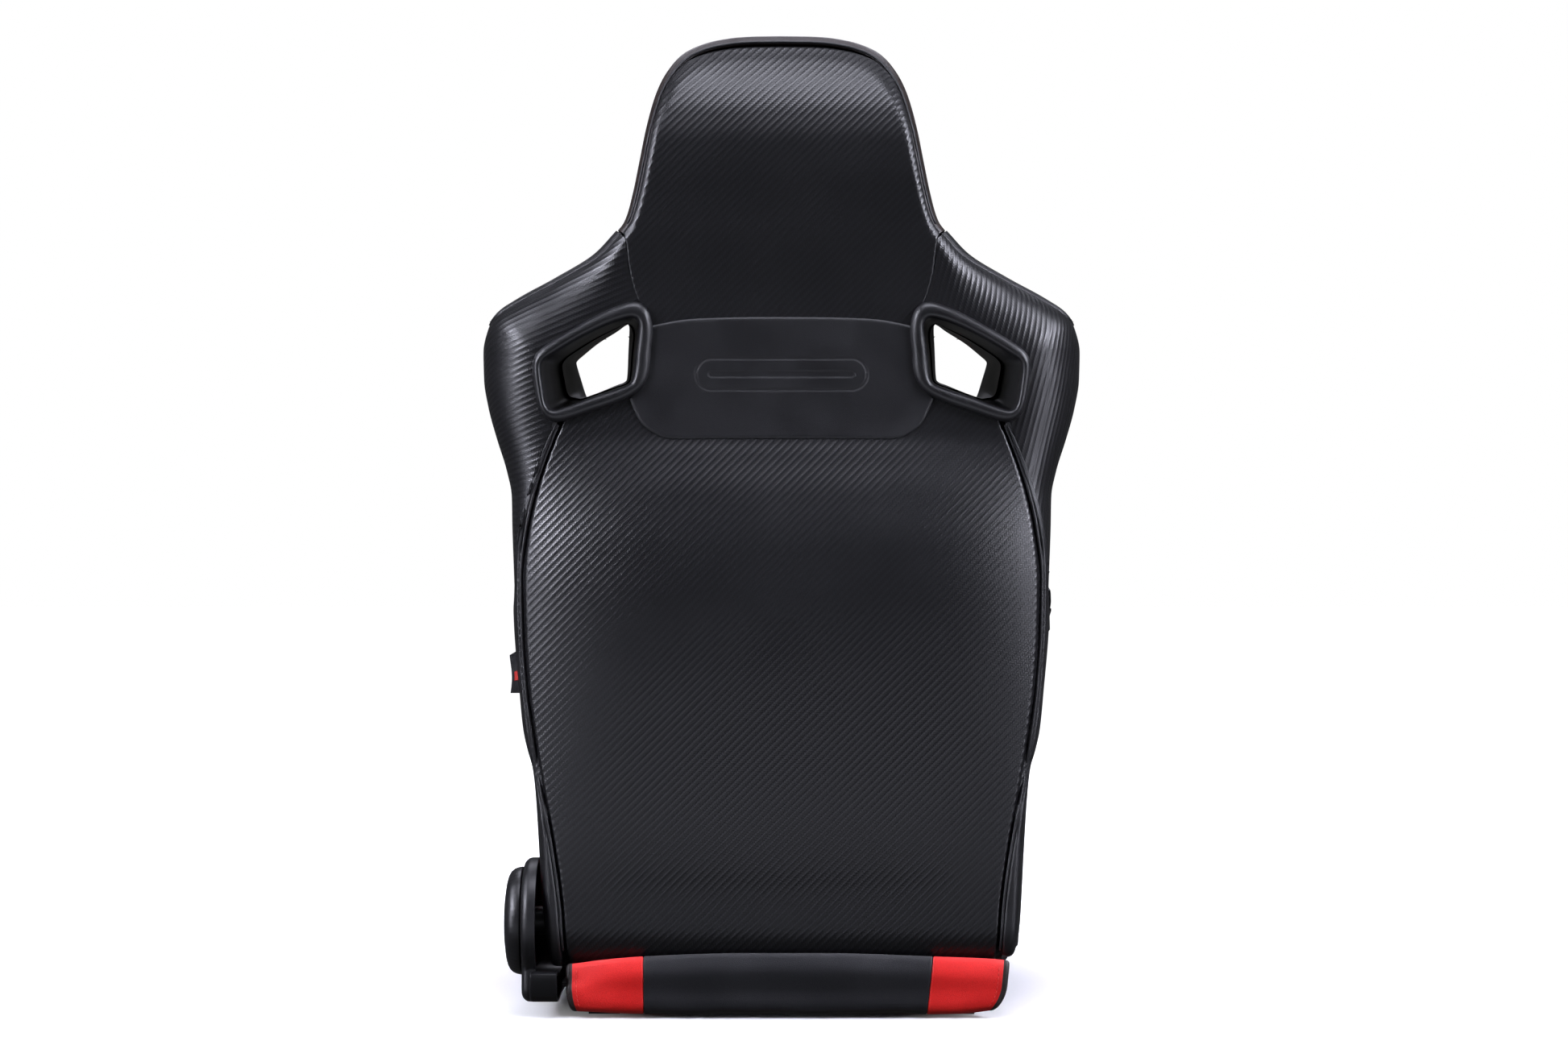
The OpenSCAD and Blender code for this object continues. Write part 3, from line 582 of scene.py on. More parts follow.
def zinc_steel():
    """Zinc-plated wire and nuts, faintly brushed."""
    m = Finish("zinc_steel", Metallic=1.0)
    where = m.place()
    cloud = m.noise(60, 4, where)
    m.set("Base Color", m.clouded(cloud, (0.50, 0.49, 0.46), (0.62, 0.62, 0.61)))
    m.clouded_gloss(cloud, 0.28, 0.42)
    brushed = m.node("ShaderNodeMapping", {"Vector": where, "Scale": (40, 900, 900)}).outputs[0]
    m.bump(m.noise(1.0, 2, brushed), 0.00004, 0.5)
    return m.material


def dark_metal_gap_shade():
    """Dark metal for the bolts, the shaft and the discs; their darkness is partly painted shade for the gap
    beside the recliner.
    """
    m = Finish("dark_metal_gap_shade", Metallic=1.0)
    cloud = m.noise(80, 3)
    m.set("Base Color", m.clouded(cloud, (0.012, 0.012, 0.014), (0.03, 0.03, 0.032)))
    m.clouded_gloss(cloud, 0.42, 0.55)
    return m.material


def open_foam():
    """Moulded foam with open cells, darker in the cells' hollows as painted shade."""
    m = Finish("moulded_foam", Roughness=0.9, Specular_IOR_Level=0.2)
    where = m.place()
    cells = m.node("ShaderNodeTexVoronoi", {"Vector": where, "Scale": 700})
    # The cells' low spots are darkened as painted shade.
    tone = m.mix(cells.outputs["Distance"], (0.05, 0.05, 0.052, 1), (0.13, 0.13, 0.135, 1))
    m.set("Base Color", tone)
    m.bump(cells.outputs["Distance"], 0.0006, 0.8)
    return m.material


def sewing_thread(name, colour):
    """Twisted thread, darker in the grooves of its twist as painted shade."""
    m = Finish(name, Specular_IOR_Level=0.4, Roughness=0.6)
    twist = m.node("ShaderNodeTexWave", {"Vector": m.place(), "Scale": 900, "Distortion": 1.5})
    # The twist's grooves get a darkened copy of the thread's colour: painted shade.
    tone = m.mix(twist.outputs["Fac"], (*[0.6 * v for v in colour], 1), (*colour, 1))
    m.set("Base Color", tone)
    m.bump(twist.outputs["Fac"], 0.0001, 0.6)
    return m.material


def woven_tape():
    """Ribbed tape for the label."""
    m = Finish("woven_tape", Roughness=0.75, Specular_IOR_Level=0.3)
    where = m.place()
    weave = m.node("ShaderNodeTexChecker", {"Vector": where, "Scale": 1600})
    ribs = m.node("ShaderNodeTexWave", {"Vector": where, "Scale": 260})
    tone = m.mix(weave.outputs["Fac"], (0.012, 0.012, 0.013, 1), (0.03, 0.03, 0.032, 1))
    ribbed = m.mix(m.spread(ribs.outputs["Fac"], 0, 1, 0, 0.4), tone, (0.02, 0.02, 0.02, 1))
    m.set("Base Color", ribbed)
    m.bump(weave.outputs["Fac"], 0.0001, 0.8)
    return m.material


CARBON = carbon_vinyl()
VINYL = grained_vinyl("black_vinyl", (0.0036, 0.0036, 0.0047), (0.0058, 0.0058, 0.0073), rough=0.40)
TAIL_VINYL = grained_vinyl("tail_vinyl", (0.0125, 0.0125, 0.0150), (0.0175, 0.0175, 0.0205), rough=0.46)
EDGE_VINYL = grained_vinyl("edge_vinyl", (0.016, 0.010, 0.009), (0.026, 0.017, 0.014), rough=0.36)
CORD_VINYL = grained_vinyl("piping_vinyl", (0.0052, 0.0052, 0.0064), (0.0084, 0.0084, 0.0100), rough=0.38)
RED = grained_vinyl("red_vinyl", (0.80, 0.011, 0.009), (0.92, 0.018, 0.014), rough=0.52, depth=0.00009)
PLASTIC = moulded_plastic("moulded_plastic", (0.0040, 0.0040, 0.0048), (0.0068, 0.0068, 0.0079), 0.40)
WHEEL_PLASTIC = moulded_plastic("handwheel_plastic", (0.0060, 0.0060, 0.0068), (0.0096, 0.0096, 0.0106),
                                0.38)
STEEL = painted_steel()
ZINC = zinc_steel()
DARK_METAL_GAP_SHADE = dark_metal_gap_shade()
FOAM = open_foam()
BLACK_THREAD = sewing_thread("black_thread", (0.02, 0.02, 0.022))
RED_THREAD = sewing_thread("red_thread", (0.75, 0.03, 0.02))
TAPE = woven_tape()


def stitches(routes, pitch=5.5, length=3.8, radius=0.45):
    """Sewing along routes: a short thread capsule for each stitch."""
    meshes = []
    for route in routes:
        route = np.asarray(route, float)
        total = length_along(route)[-1]
        for k in range(int(total / pitch)):
            ends = at_shares(route, [k * pitch / total, (k * pitch + length / 2) / total,
                                     (k * pitch + length) / total])
            meshes.append(tube(ends, [radius * 0.8, radius, radius * 0.8], 6))
    return joined(*meshes)


def rounded_copy(name, node, width, material, body, limit=32):
    """A CAD part with its hard edges eased."""
    data = frame["nodes"][node].data.copy()
    data.name = name
    shape = bmesh.new()
    shape.from_mesh(data)
    bmesh.ops.remove_doubles(shape, verts=shape.verts, dist=1e-6)
    bmesh.ops.dissolve_limit(shape, angle_limit=math.radians(0.5), verts=shape.verts, edges=shape.edges)
    shape.to_mesh(data)
    shape.free()
    data.materials.clear()
    data.materials.append(material)
    data.shade_smooth()
    piece = linked(name, data)
    bevel = piece.modifiers.new("eased", "BEVEL")
    bevel.width = width * MM
    bevel.segments = 2
    bevel.angle_limit = math.radians(limit)
    bevel.harden_normals = True
    data.set_sharp_from_angle(angle=math.radians(limit))
    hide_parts(node)
    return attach(piece, body)


# ---------------------------------------------------------------- rear of the back

# Gap between a panel's edge and the piping's line, and the covers' thickness
GROOVE = 4.0
COVER = 3.0
# The panel's foot turns in round the recline axis
HEEL_R = 50.0
HEEL_END = math.radians(-112)
# Height of the seam between the lower panel and the band, at the middle
PANEL_TOP = 560.0


def rear_panel():
    """Lower rear panel: crowned, with rolled edges beside the piping and a round heel below."""
    head_line = curve([(0, 560), (104, 560), (120, 566), (132, 576), (139, 588), (147, 600), (165, 594),
                       (183, 588), (200, 582), (214, 576)])
    near = np.array([0.0, 0.25, 0.7, 1.3, 2.0, 3.0, 4.4]) / 240
    share = np.concatenate([-1 + near, np.linspace(-1, 1, 104)[3:-3], 1 - near[::-1]])
    share = np.unique(np.round(share, 6))
    down = np.linspace(0, 1, 122)
    top = head_line(np.abs(share) * 210)
    z = top[None] + (PIVOT_Z - top[None]) * down[:, None]
    turn = np.linspace(0, HEEL_END, 26)[1:]
    heel_z = np.repeat((PIVOT_Z + HEEL_R * np.sin(turn))[:, None], len(share), 1)
    z = np.concatenate([z, heel_z])
    half_width = piping(z) - GROOVE
    x = share[None] * half_width
    y = rear_depth(x, np.maximum(z, PIVOT_Z))
    heel_rows = slice(len(down), None)
    y[heel_rows] = y[len(down) - 1][None] * np.cos(turn)[:, None]
    gap = half_width - np.abs(x)
    roll = 3.2
    y -= rolled(gap, roll)
    grid = np.stack([x, y, z], -1)
    ribs = 0.28 * np.sin(2 * math.pi * z / 2.75) * np.exp(-((gap - 0.6) / 1.1) ** 2)
    grid[..., 1] += ribs * np.cos(np.concatenate([np.zeros(len(down)), turn]))[:, None]
    # A flange under the piping closes the groove
    for out, drop in ((1.2, 5.0 - roll), (5.3, 1.2)):
        first, last = grid[:, :1] - [out, drop, 0], grid[:, -1:] + [out, -drop, 0]
        grid = np.concatenate([first, grid, last], 1)
    outward = np.zeros_like(grid)
    outward[..., 1] = 1
    outward[heel_rows, :, 1] = np.cos(turn)[:, None]
    outward[heel_rows, :, 2] = np.sin(turn)[:, None]
    mesh = grid_shell(grid, COVER, outward)
    fall = length_along(grid[:, grid.shape[1] // 2])
    cloth = np.stack([-grid[..., 0], grid[..., 2] - PANEL_TOP], -1)
    cloth[heel_rows, :, 1] = (PIVOT_Z - PANEL_TOP) - (fall[heel_rows] - fall[len(down) - 1])[:, None]
    flat = cloth.reshape(-1, 2)
    add_padded("rear_panel_cover", mesh, CARBON, ["rear_panel"], "back", np.concatenate([flat, flat]))


def bar_badge(x, z):
    """Depth of the band's pressed badge: a plain frame with rounded ends, and a bar inside it."""
    half_w, half_h, bar, centre = 82.0, 15.0, 3.2, 617.0
    off_axis = np.hypot(np.maximum(np.abs(x) - half_w + half_h, 0), z - centre)
    frame_line = smoothstep(1.6 - np.abs(off_axis - half_h))
    return 0.7 * np.maximum(frame_line, smoothstep((bar - off_axis) / 1.2 + 0.5))


# Foot and height of the band at its middle
BAND_LOW, BAND_TALL = 555.0, 117.0


def rear_band():
    """Smooth band across the shoulders, a little proud of the panels it meets."""
    low = spline([(-146, 594), (-141.5, 583), (-134, 569), (-121, 559.5), (-107, 555), (-60, 555), (0, 555),
                  (60, 555), (107, 555), (121, 559.5), (134, 569), (141.5, 583), (146, 594)], 400)
    high = spline([(-130, 662), (-120, 665), (-95, 669.8), (-69, 671.5), (-30, 672.4), (30, 672.4),
                   (69, 671.5), (95, 669.8), (120, 665), (130, 662)], 400)
    left = spline([(-146, 594), (-136, 612), (-132, 640), (-130, 662)], 200)
    columns = np.concatenate([[0, 0.003, 0.008, 0.016], np.linspace(0.03, 0.17, 12)[:-1],
                              np.linspace(0.17, 0.83, 170), np.linspace(0.83, 0.97, 12)[1:],
                              [0.984, 0.992, 0.997, 1]])
    rows = np.concatenate([[0, 0.004, 0.010, 0.02, 0.035], np.linspace(0.05, 0.36, 12)[:-1],
                           np.linspace(0.36, 0.70, 46), np.linspace(0.70, 0.96, 10)[1:],
                           [0.975, 0.986, 0.994, 1]])
    side = at_shares(left, rows)
    flat = coons(at_shares(low, columns), at_shares(high, columns), side, side * [-1, 1])
    x, z = flat[..., 0], flat[..., 1]
    border = np.concatenate([low, side * [-1, 1], high[::-1], side[::-1]])
    gap = distance_to(border[::2], flat)
    gap[0] = gap[-1] = 0
    gap[:, 0] = gap[:, -1] = 0
    proud, crown = 1.9, 1.2
    y = rear_depth(x, z) + proud - rolled(gap, 3.4)
    y += crown * np.sin(math.pi * np.clip((z - BAND_LOW) / BAND_TALL, 0, 1)) - bar_badge(x, z)
    grid = np.stack([x, y, z], -1)
    piece = add("band_cover", grid_shell(grid, 2.6, (0, 1, 0)), VINYL, "back", ["rear_band"])


# How far inside the head's outline the seam round its rear panel runs
SEAM_IN = 7.0
# Heights of the head's upper corners, its top, and the foot of its wrapped edge
CORNER_Z, TOP_Z, WRAP_Z = 905, 950, 757


def inset_outline(inset, z_from, z_to, count):
    """Part of the outline moved inwards along its normal; heights go from z_from to z_to."""
    pick = (outline[:, 1] >= z_from - 1e-6) & (outline[:, 1] <= z_to + 1e-6)
    p = spread(outline[pick], count)
    along = unit(np.gradient(p, axis=0))
    inward = np.stack([-along[:, 1], along[:, 0]], 1)
    return p + inward * np.broadcast_to(np.asarray(inset, float), count)[:, None]


def over_head(inset, foot=WRAP_Z, count=170):
    """A route up one side of the head's outline, over its top and down the other side."""
    rise = inset_outline(inset, foot, TOP_Z, count)
    rise[-1, 0] = 0
    return np.concatenate([rise, (rise * [-1, 1])[::-1][1:]])


def head_patch(inset, lower, rows, cols):
    """A patch over the head between its lower seam and its inset outline."""
    rise = inset_outline(inset, WRAP_Z - 1, CORNER_Z, 80)
    rise = np.concatenate([lower[-1:], rise])
    crown = inset_outline(inset, CORNER_Z, TOP_Z, 80)
    crown[-1, 0] = 0
    top = np.concatenate([crown * [-1, 1], crown[::-1][1:]])
    share_u, share_v = dense_ends(cols, 0.7), dense_ends(rows, 0.7)
    right = at_shares(rise, share_v)
    return coons(at_shares(lower, share_u), at_shares(top, share_u), right * [-1, 1], right)


def head_rear():
    """Carbon panel on the rear of the head, down to the band."""
    lower = spline([(-128, 662), (-110, 666), (-60, 668), (0, 668), (60, 668), (110, 666), (128, 662)], 120)
    side = spread(spline([(128, 662), (138, 687), (145.5, 712), (149.5, 742)], 40), 24)
    neck = spline([(-149.5, 742), (-80, 741), (0, 740), (80, 741), (149.5, 742)], 100)
    columns = dense_ends(78, 0.7)
    flat_low = coons(at_shares(lower, columns), at_shares(neck, columns), side * [-1, 1], side)
    flat_high = head_patch(SEAM_IN, flat_low[-1], 64, 78)
    flat = np.concatenate([flat_low, flat_high[1:]])
    grid = on_rear(flat)
    gap = distance_to(np.concatenate([flat[:, 0], flat[:, -1], flat[-1]]), flat)
    grid = lifted(grid, 0.6 - rolled(gap, 2.4), (0, 1, 0))
    cloth = np.stack([-flat[..., 0], flat[..., 1]], -1).reshape(-1, 2)
    mesh = grid_shell(grid, COVER, (0, 1, 0))
    add_padded("head_rear_cover", mesh, CARBON, ["rear_head_panel"], "back",
               np.concatenate([cloth, cloth]))


# Pairs of points, (inner seam, outline), down the shoulder and the side, seen from behind. The
# outline's half width is worked out from its height, and so is the seam's where it says None.
LOWER_PAIRS = 350, 300, 262, 240, 214, 170, 110, 58
SHOULDER_PAIRS = [
    ((149.5, 747), 757), ((147, 722), 736), ((141, 698), 713), ((133, 678), 694), ((128, 657), 674),
    ((127, 630), 645), ((127, 608), 606), ((150, 599), 580), ((205, 581), 552), ((215, 570), 530),
    ((222.5, 550), 506), ((233, 520), 488), ((245, 475), 458), ((250, 440), 431), ((None, 400), 398),
    *[((None, z), z) for z in LOWER_PAIRS],
]
# The front seam's point for each pair
FRONT_PAIRS = [
    (149, 745), (146, 722), (139, 702), (131, 684), (128, 662), (127, 632), (127, 606), (128, 586),
    (131, 563), (135, 545), (142, 524), (147, 500), (150, 462), (150, 434), (150, 398),
    *[(150, z) for z in LOWER_PAIRS],
]


def side_rows(first, last, spacing=4.0):
    """Matched inner seam, outline and front seam points from one pair to another."""
    seam = [(p[0] if p[0] is not None else float(piping(p[1])) + 1, p[1]) for p, _ in SHOULDER_PAIRS]
    edge = [(float(half(z)), z) for _, z in SHOULDER_PAIRS]
    at = np.arange(len(seam))

    def fine(values, t):
        values = np.array(values, float)
        return np.stack([curve(np.stack([at, values[:, k]], 1))(t) for k in (0, 1)], 1)

    t = np.linspace(first, last, 1200)
    rough = fine(edge, t)
    along = length_along(rough)
    t = np.interp(np.linspace(0, along[-1], int(along[-1] / spacing) + 2), along, t)
    edge_at = fine(edge, t)
    edge_at[:, 0] = half(edge_at[:, 1])
    return fine(seam, t), edge_at, fine(FRONT_PAIRS, t), t


def skin(seam, edge, front, shares):
    """Points of the side's skin: share 1 is the rear seam, 0 the outline, -1 the front seam."""
    shares = np.broadcast_to(shares, (len(edge), np.shape(shares)[-1]))
    inner = np.where(shares[..., None] >= 0, seam[:, None], front[:, None])
    flat = edge[:, None] + np.abs(shares)[..., None] * (inner - edge[:, None])
    return np.where(shares[..., None] >= 0, on_rear(flat), on_front(flat))


def near_edge(count, power=1.7):
    """Shares from 0 to 1, closer together near 0, where the skin turns."""
    return np.linspace(0, 1, count) ** power


def run_out(grid, origin):
    """Distance along each row of a grid from a column."""
    step = np.linalg.norm(np.diff(grid, axis=1), axis=2)
    along = np.concatenate([np.zeros((len(grid), 1)), np.cumsum(step, 1)], 1)
    return along - along[:, origin : origin + 1]


# Slot outlines for the sitter's left, as (x, z)
BEZEL_OUTER = [(124.5, 640), (123, 660), (128, 679), (141, 686.5), (166, 679), (192, 665.5), (219, 649.5),
               (234, 638), (238.5, 625), (236.5, 605), (233, 588), (226, 575.5), (213, 571.5), (183, 580.5),
               (150, 592.5), (134, 603.5), (126.5, 618)]
BEZEL_INNER = [(139.5, 640), (136.8, 661), (138.5, 668), (145, 670.6), (166, 664), (192, 651.5), (215, 638),
               (227, 630.5), (229.5, 622), (227.5, 605), (224.5, 588), (218, 582.5), (206, 586), (183, 594.5),
               (152, 605), (144, 610), (141.5, 620)]
FRONT_APERTURE = [(150.8, 645), (150, 668), (153, 669.5), (163, 663), (182, 652.5), (198, 641), (204, 636),
                  (204.5, 632), (200, 617), (195.5, 603), (193, 600.5), (180, 604.5), (163, 610.5),
                  (154.5, 613.5), (152, 619)]
SLOT_CENTRE = np.array([180.0, 631.0])
# Depth at which the front and the rear bezel meet, and their wall
SLOT_MIDDLE = -21.5
BEZEL_WALL = 2.2


def around(points, count=128, grow=0.0):
    """A closed outline as points at even angles round the slot's centre."""
    loop = spline(points, 400, closed=True) - SLOT_CENTRE
    radius, angle = np.hypot(loop[:, 0], loop[:, 1]), np.unwrap(np.arctan2(loop[:, 1], loop[:, 0]))
    if angle[-1] < angle[0]:
        angle, radius = angle[::-1], radius[::-1]
    want = np.linspace(0, 2 * math.pi, count, endpoint=False)
    angle = np.concatenate([angle - 2 * math.pi, angle, angle + 2 * math.pi])
    radius = np.concatenate([radius] * 3)
    r = np.interp(want, angle, radius) + grow
    return SLOT_CENTRE + np.stack([r * np.cos(want), r * np.sin(want)], 1)


def inside(flat, outline_points, grow):
    """Which points lie within an outline round the slot that is grown by some millimetres."""
    q = flat - SLOT_CENTRE
    loop = around(outline_points, 256, grow) - SLOT_CENTRE
    limit = np.hypot(loop[:, 0], loop[:, 1])
    angle = np.mod(np.arctan2(q[..., 1], q[..., 0]), 2 * math.pi) / (2 * math.pi) * 256
    return np.hypot(q[..., 0], q[..., 1]) < np.interp(angle, np.arange(257), np.append(limit, limit[0]))


def cell_middles(grid):
    """Middles of a grid's cells, as (x, z)."""
    return ((grid[:-1, :-1] + grid[1:, :-1] + grid[:-1, 1:] + grid[1:, 1:]) / 4)[..., [0, 2]]


def grown(flat, amount):
    """Points moved away from the slot's centre."""
    return flat + unit(flat - SLOT_CENTRE) * amount


def shoulder_wing(label, side):
    """Carbon cover of the shoulder and upper side, round the outline to a seam on the front."""
    seam, edge, front, t = side_rows(0, 16)
    rear = near_edge(44)[::-1]
    ahead = -near_edge(44)[1:26]
    shares = np.concatenate([rear, ahead])
    grid = skin(seam, edge, front, shares)
    grid = lifted(grid, 0.5, (0.7, 0.6, 0.2))
    keep = ~inside(cell_middles(grid), BEZEL_OUTER, -5.0)
    out = run_out(grid, 0)
    # Below the shoulder it ends under the bolster's edge
    ends = bolster_start(t, out, shares) + 9
    keep &= (out[:-1, 1:] < ends[:-1, None]) | (t[:-1, None] < 8.0)
    heading = unit(edge - seam)
    cloth = seam[:, None] + heading[:, None] * out[..., None]
    turn = math.radians(-22 if side > 0 else 30)
    x, z = -side * cloth[..., 0], cloth[..., 1]
    cloth = np.stack([x * math.cos(turn) + z * math.sin(turn), z * math.cos(turn) - x * math.sin(turn)], -1)
    flat = cloth.reshape(-1, 2)
    mesh = on_side(grid_shell(grid, COVER, (0.7, 0.6, 0.2), keep), side)
    add_padded(f"wing_cover_{label}", mesh, CARBON, [f"shoulder_wing_{label}"], "back",
               np.concatenate([flat, flat]))


def slot_bezel(label, side):
    """Rear bezel: a rounded rim and the first, wider part of the tunnel."""
    outer, inner = around(BEZEL_OUTER), around(BEZEL_INNER)
    aperture = around(FRONT_APERTURE)
    seat = rear_depth(outer[:, 0], outer[:, 1])[:, None]

    def loop(share, rise, grow=0.0):
        flat = grown(outer + (inner - outer) * share, grow)
        return np.concatenate([flat[:, :1], seat + rise, flat[:, 1:]], 1)

    def tunnel(share, depth, grow=0.0):
        flat = grown(inner + (aperture - inner) * share, grow)
        return np.concatenate([flat[:, :1], np.full((len(flat), 1), depth), flat[:, 1:]], 1)

    rim = [(0.06, -2.5), (0.0, -1.2), (0.0, 1.2), (0.03, 3.2), (0.10, 5.4), (0.22, 7.2), (0.38, 8.4),
           (0.55, 8.8), (0.70, 8.4), (0.83, 7.2), (0.93, 5.4), (0.98, 3.2), (1.0, 0.6)]
    down = [(0.05, 26), (0.25, 6), (0.42, -14), (0.51, -24)]
    loops = [loop(share, rise) for share, rise in rim]
    loops += [tunnel(*at) for at in [*down[:-1], (0.5, -23.4), down[-1]]]
    loops += [tunnel(*at, BEZEL_WALL) for at in down[::-1]]
    loops += [loop(1.0, -3.5, 2.4), loop(0.6, -3.0)]
    add(f"bezel_rear_{label}", on_side(loops_mesh(loops, closed_ring=True), -side), PLASTIC, "back",
        [f"slot_bezel_rear_{label}"], crease=55)


def front_bezel(label, side):
    """Front bezel: the narrower part of the tunnel and a rim on the shoulder's front."""
    inner, aperture = around(BEZEL_INNER), around(FRONT_APERTURE)
    start = inner + (aperture - inner) * 0.56
    face = front_depth(aperture[:, 0], aperture[:, 1])

    def tunnel(share, grow=0.0):
        flat = grown(start + (aperture - start) * share, grow)
        depth = SLOT_MIDDLE + (face - SLOT_MIDDLE) * share
        return np.stack([flat[:, 0], depth, flat[:, 1]], 1)

    def rim(grow, rise):
        flat = grown(aperture, grow)
        seat = front_depth(flat[:, 0], flat[:, 1])
        return np.stack([flat[:, 0], seat - rise, flat[:, 1]], 1)

    loops = [tunnel(0.0, -0.8), tunnel(0.08), tunnel(0.5), tunnel(0.92),
             rim(0.0, 2), rim(0.8, 4.6), rim(2.4, 6.4), rim(4.6, 7.0), rim(7.0, 6.4), rim(9.0, 4.6),
             rim(10.2, 2.2), rim(10.6, -1.5), rim(8.5, -3.5), rim(3.0, -3.0)]
    loops += [tunnel(share, BEZEL_WALL) for share in (0.92, 0.5, 0.08)]
    add(f"bezel_front_{label}", on_side(loops_mesh(loops, closed_ring=True), side), PLASTIC, "back",
        [f"slot_bezel_front_{label}"], crease=55)


def side_surface(first, last):
    """The side's skin from the piping round to the front seam, by height and distance run."""
    seam, edge, front, t = side_rows(first, last, 3.0)
    shares = np.concatenate([near_edge(30)[::-1], -near_edge(40)[1:]])
    grid = skin(seam, edge, front, shares)
    return grid, run_out(grid, 0), seam[:, 1]


# Radius at which the side cover turns in below the recline axis
TONGUE_R = 46.0


def side_cover(label, side):
    """Smooth side cover: a narrow strip beside the piping that widens into the whole side, and hangs
    below as a flap over the recliner."""
    grid, out, heights = side_surface(9, 22)
    # How far round the cover reaches, by height
    reach = curve([(58, 116), (214, 116), (262, 112), (330, 104), (352, 88), (372, 58), (390, 30), (404, 16),
                   (430, 11.5), (540, 10.5), (556, 8.0), (567, 2.2), (571, 0.6)])
    if side > 0:
        foot = curve([(0, 41), (0.07, 42), (0.10, 46), (0.125, 68), (0.18, 100), (0.3, 120), (0.62, 150),
                      (0.88, 176), (1, 214)])
    else:
        foot = curve([(0, 60), (0.08, 56), (0.2, 58), (0.55, 66), (0.8, 88), (0.93, 134), (1, 214)])
    shares = np.concatenate([np.linspace(0, 0.25, 26)[:-1], np.linspace(0.25, 1, 34)])
    steps = np.linspace(0, 1, 150)
    heights_down = 570 + (foot(shares)[None] - 570) * steps[:, None]
    # Points at each wanted height and share: along the run first, then between heights
    order = np.argsort(heights)
    table = np.empty((len(heights), len(shares), 3))
    for i, height in enumerate(heights):
        table[i] = at_lengths(grid[i], out[i], shares * min(float(reach(height)), out[i, -1] - 0.5))
    points = np.empty((*heights_down.shape, 3))
    for j in range(len(shares)):
        points[:, j] = at_lengths(table[order, j], heights[order], heights_down[:, j])
    # Its rear turns in round the heel below the recline axis
    turn = np.maximum(PIVOT_Z - heights_down, 0) / TONGUE_R
    out_y = points[..., 1].copy()
    curled = smoothstep((out_y - 4) / 26) * (turn > 0)
    points[..., 1] += curled * out_y * (np.cos(turn) - 1)
    points[..., 2] += curled * (PIVOT_Z - out_y * np.sin(turn) - points[..., 2])
    # Rolled edges, and a slight dish between them
    width = reach(heights_down)
    gap = np.minimum(shares[None] * width, (1 - shares[None]) * width)
    drop = np.minimum(heights_down - foot(shares)[None], 8)
    gap = np.minimum(gap, np.maximum(drop, 0))
    roll = np.minimum(2.6, width / 2)
    grid = lifted(points, 2.3 - rolled(gap, roll), (1, 0.6, 0))
    add_padded(f"side_cover_{label}", on_side(grid_shell(grid, 3.6, (1, 0.6, 0)), side), VINYL,
               [f"side_panel_{label}"], "back")


def rear_piping(label, side):
    """Thin cord in the groove between the rear panel and the side, curled in at its foot."""
    z = np.linspace(566, 66, 150)
    x = piping(z) - 0.6
    y = rear_depth(x, np.maximum(z, PIVOT_Z)) - 0.4
    y -= np.maximum(PIVOT_Z - z, 0) ** 2 / 95
    route = np.stack([x, y, z], 1)
    add(f"piping_{label}", on_side(tube(route, 1.55, 10), side), CORD_VINYL, "back",
        [f"rear_piping_{label}"])


def head_welt():
    """Cord in the seam round the head's rear panel."""
    route = on_rear(over_head(SEAM_IN - 1.2, 762, 160))
    route[:, 1] += 0.4
    add("head_welt", tube(route, 1.5, 10), CORD_VINYL, "back", ["head_piping"])


# ---------------------------------------------------------------- front of the back


def head_front():
    """Head cushion: a crowned pad on the front that wraps over the outline to the rear seam."""
    lower = spline([(-150, 748), (-143, 724), (-124, 705), (-90, 696), (-40, 693), (0, 692.5), (40, 693),
                    (90, 696), (124, 705), (143, 724), (150, 748)], 240)
    patch = head_patch(0.02, lower, 74, 90)
    grid = on_front(patch)
    grid[..., 1] -= 6 - rolled(distance_to(lower[::2], patch), 13.0)
    mesh = grid_shell(grid, COVER + 4, (0, -1, 0))
    # The strip that wraps from the front to the rear seam, outside the carbon panel
    proud, centre = 0.9, (0, 0, 830)
    strip = on_rear(np.array([over_head(inset) for inset in SEAM_IN * np.linspace(0, 1, 12) ** 1.6]))
    drop = rolled(np.linspace(1, 0, 12) ** 0.8 * SEAM_IN, 2.2)
    facing = unit(strip - centre) * [1, 0, 1] + [0, 0.6, 0]
    strip = strip + normals_toward(strip, facing) * (proud - drop)[:, None, None]
    ahead = on_front(np.array([over_head(inset) for inset in 10 * np.linspace(1, 0, 10)[:-1] ** 1.6]))
    ahead = ahead + unit(ahead - centre) * [1, 0, 1] * proud
    whole = np.concatenate([ahead, strip])
    rim = grid_shell(whole, 2.4, unit(whole - centre) * [1, 0, 1] + [0, 0.4, 0])
    piece = add("head_cushion_cover", mesh, VINYL, "back", ["head_cushion"], crease=60)
    add("head_edge_cover", rim, EDGE_VINYL, "back", crease=60)


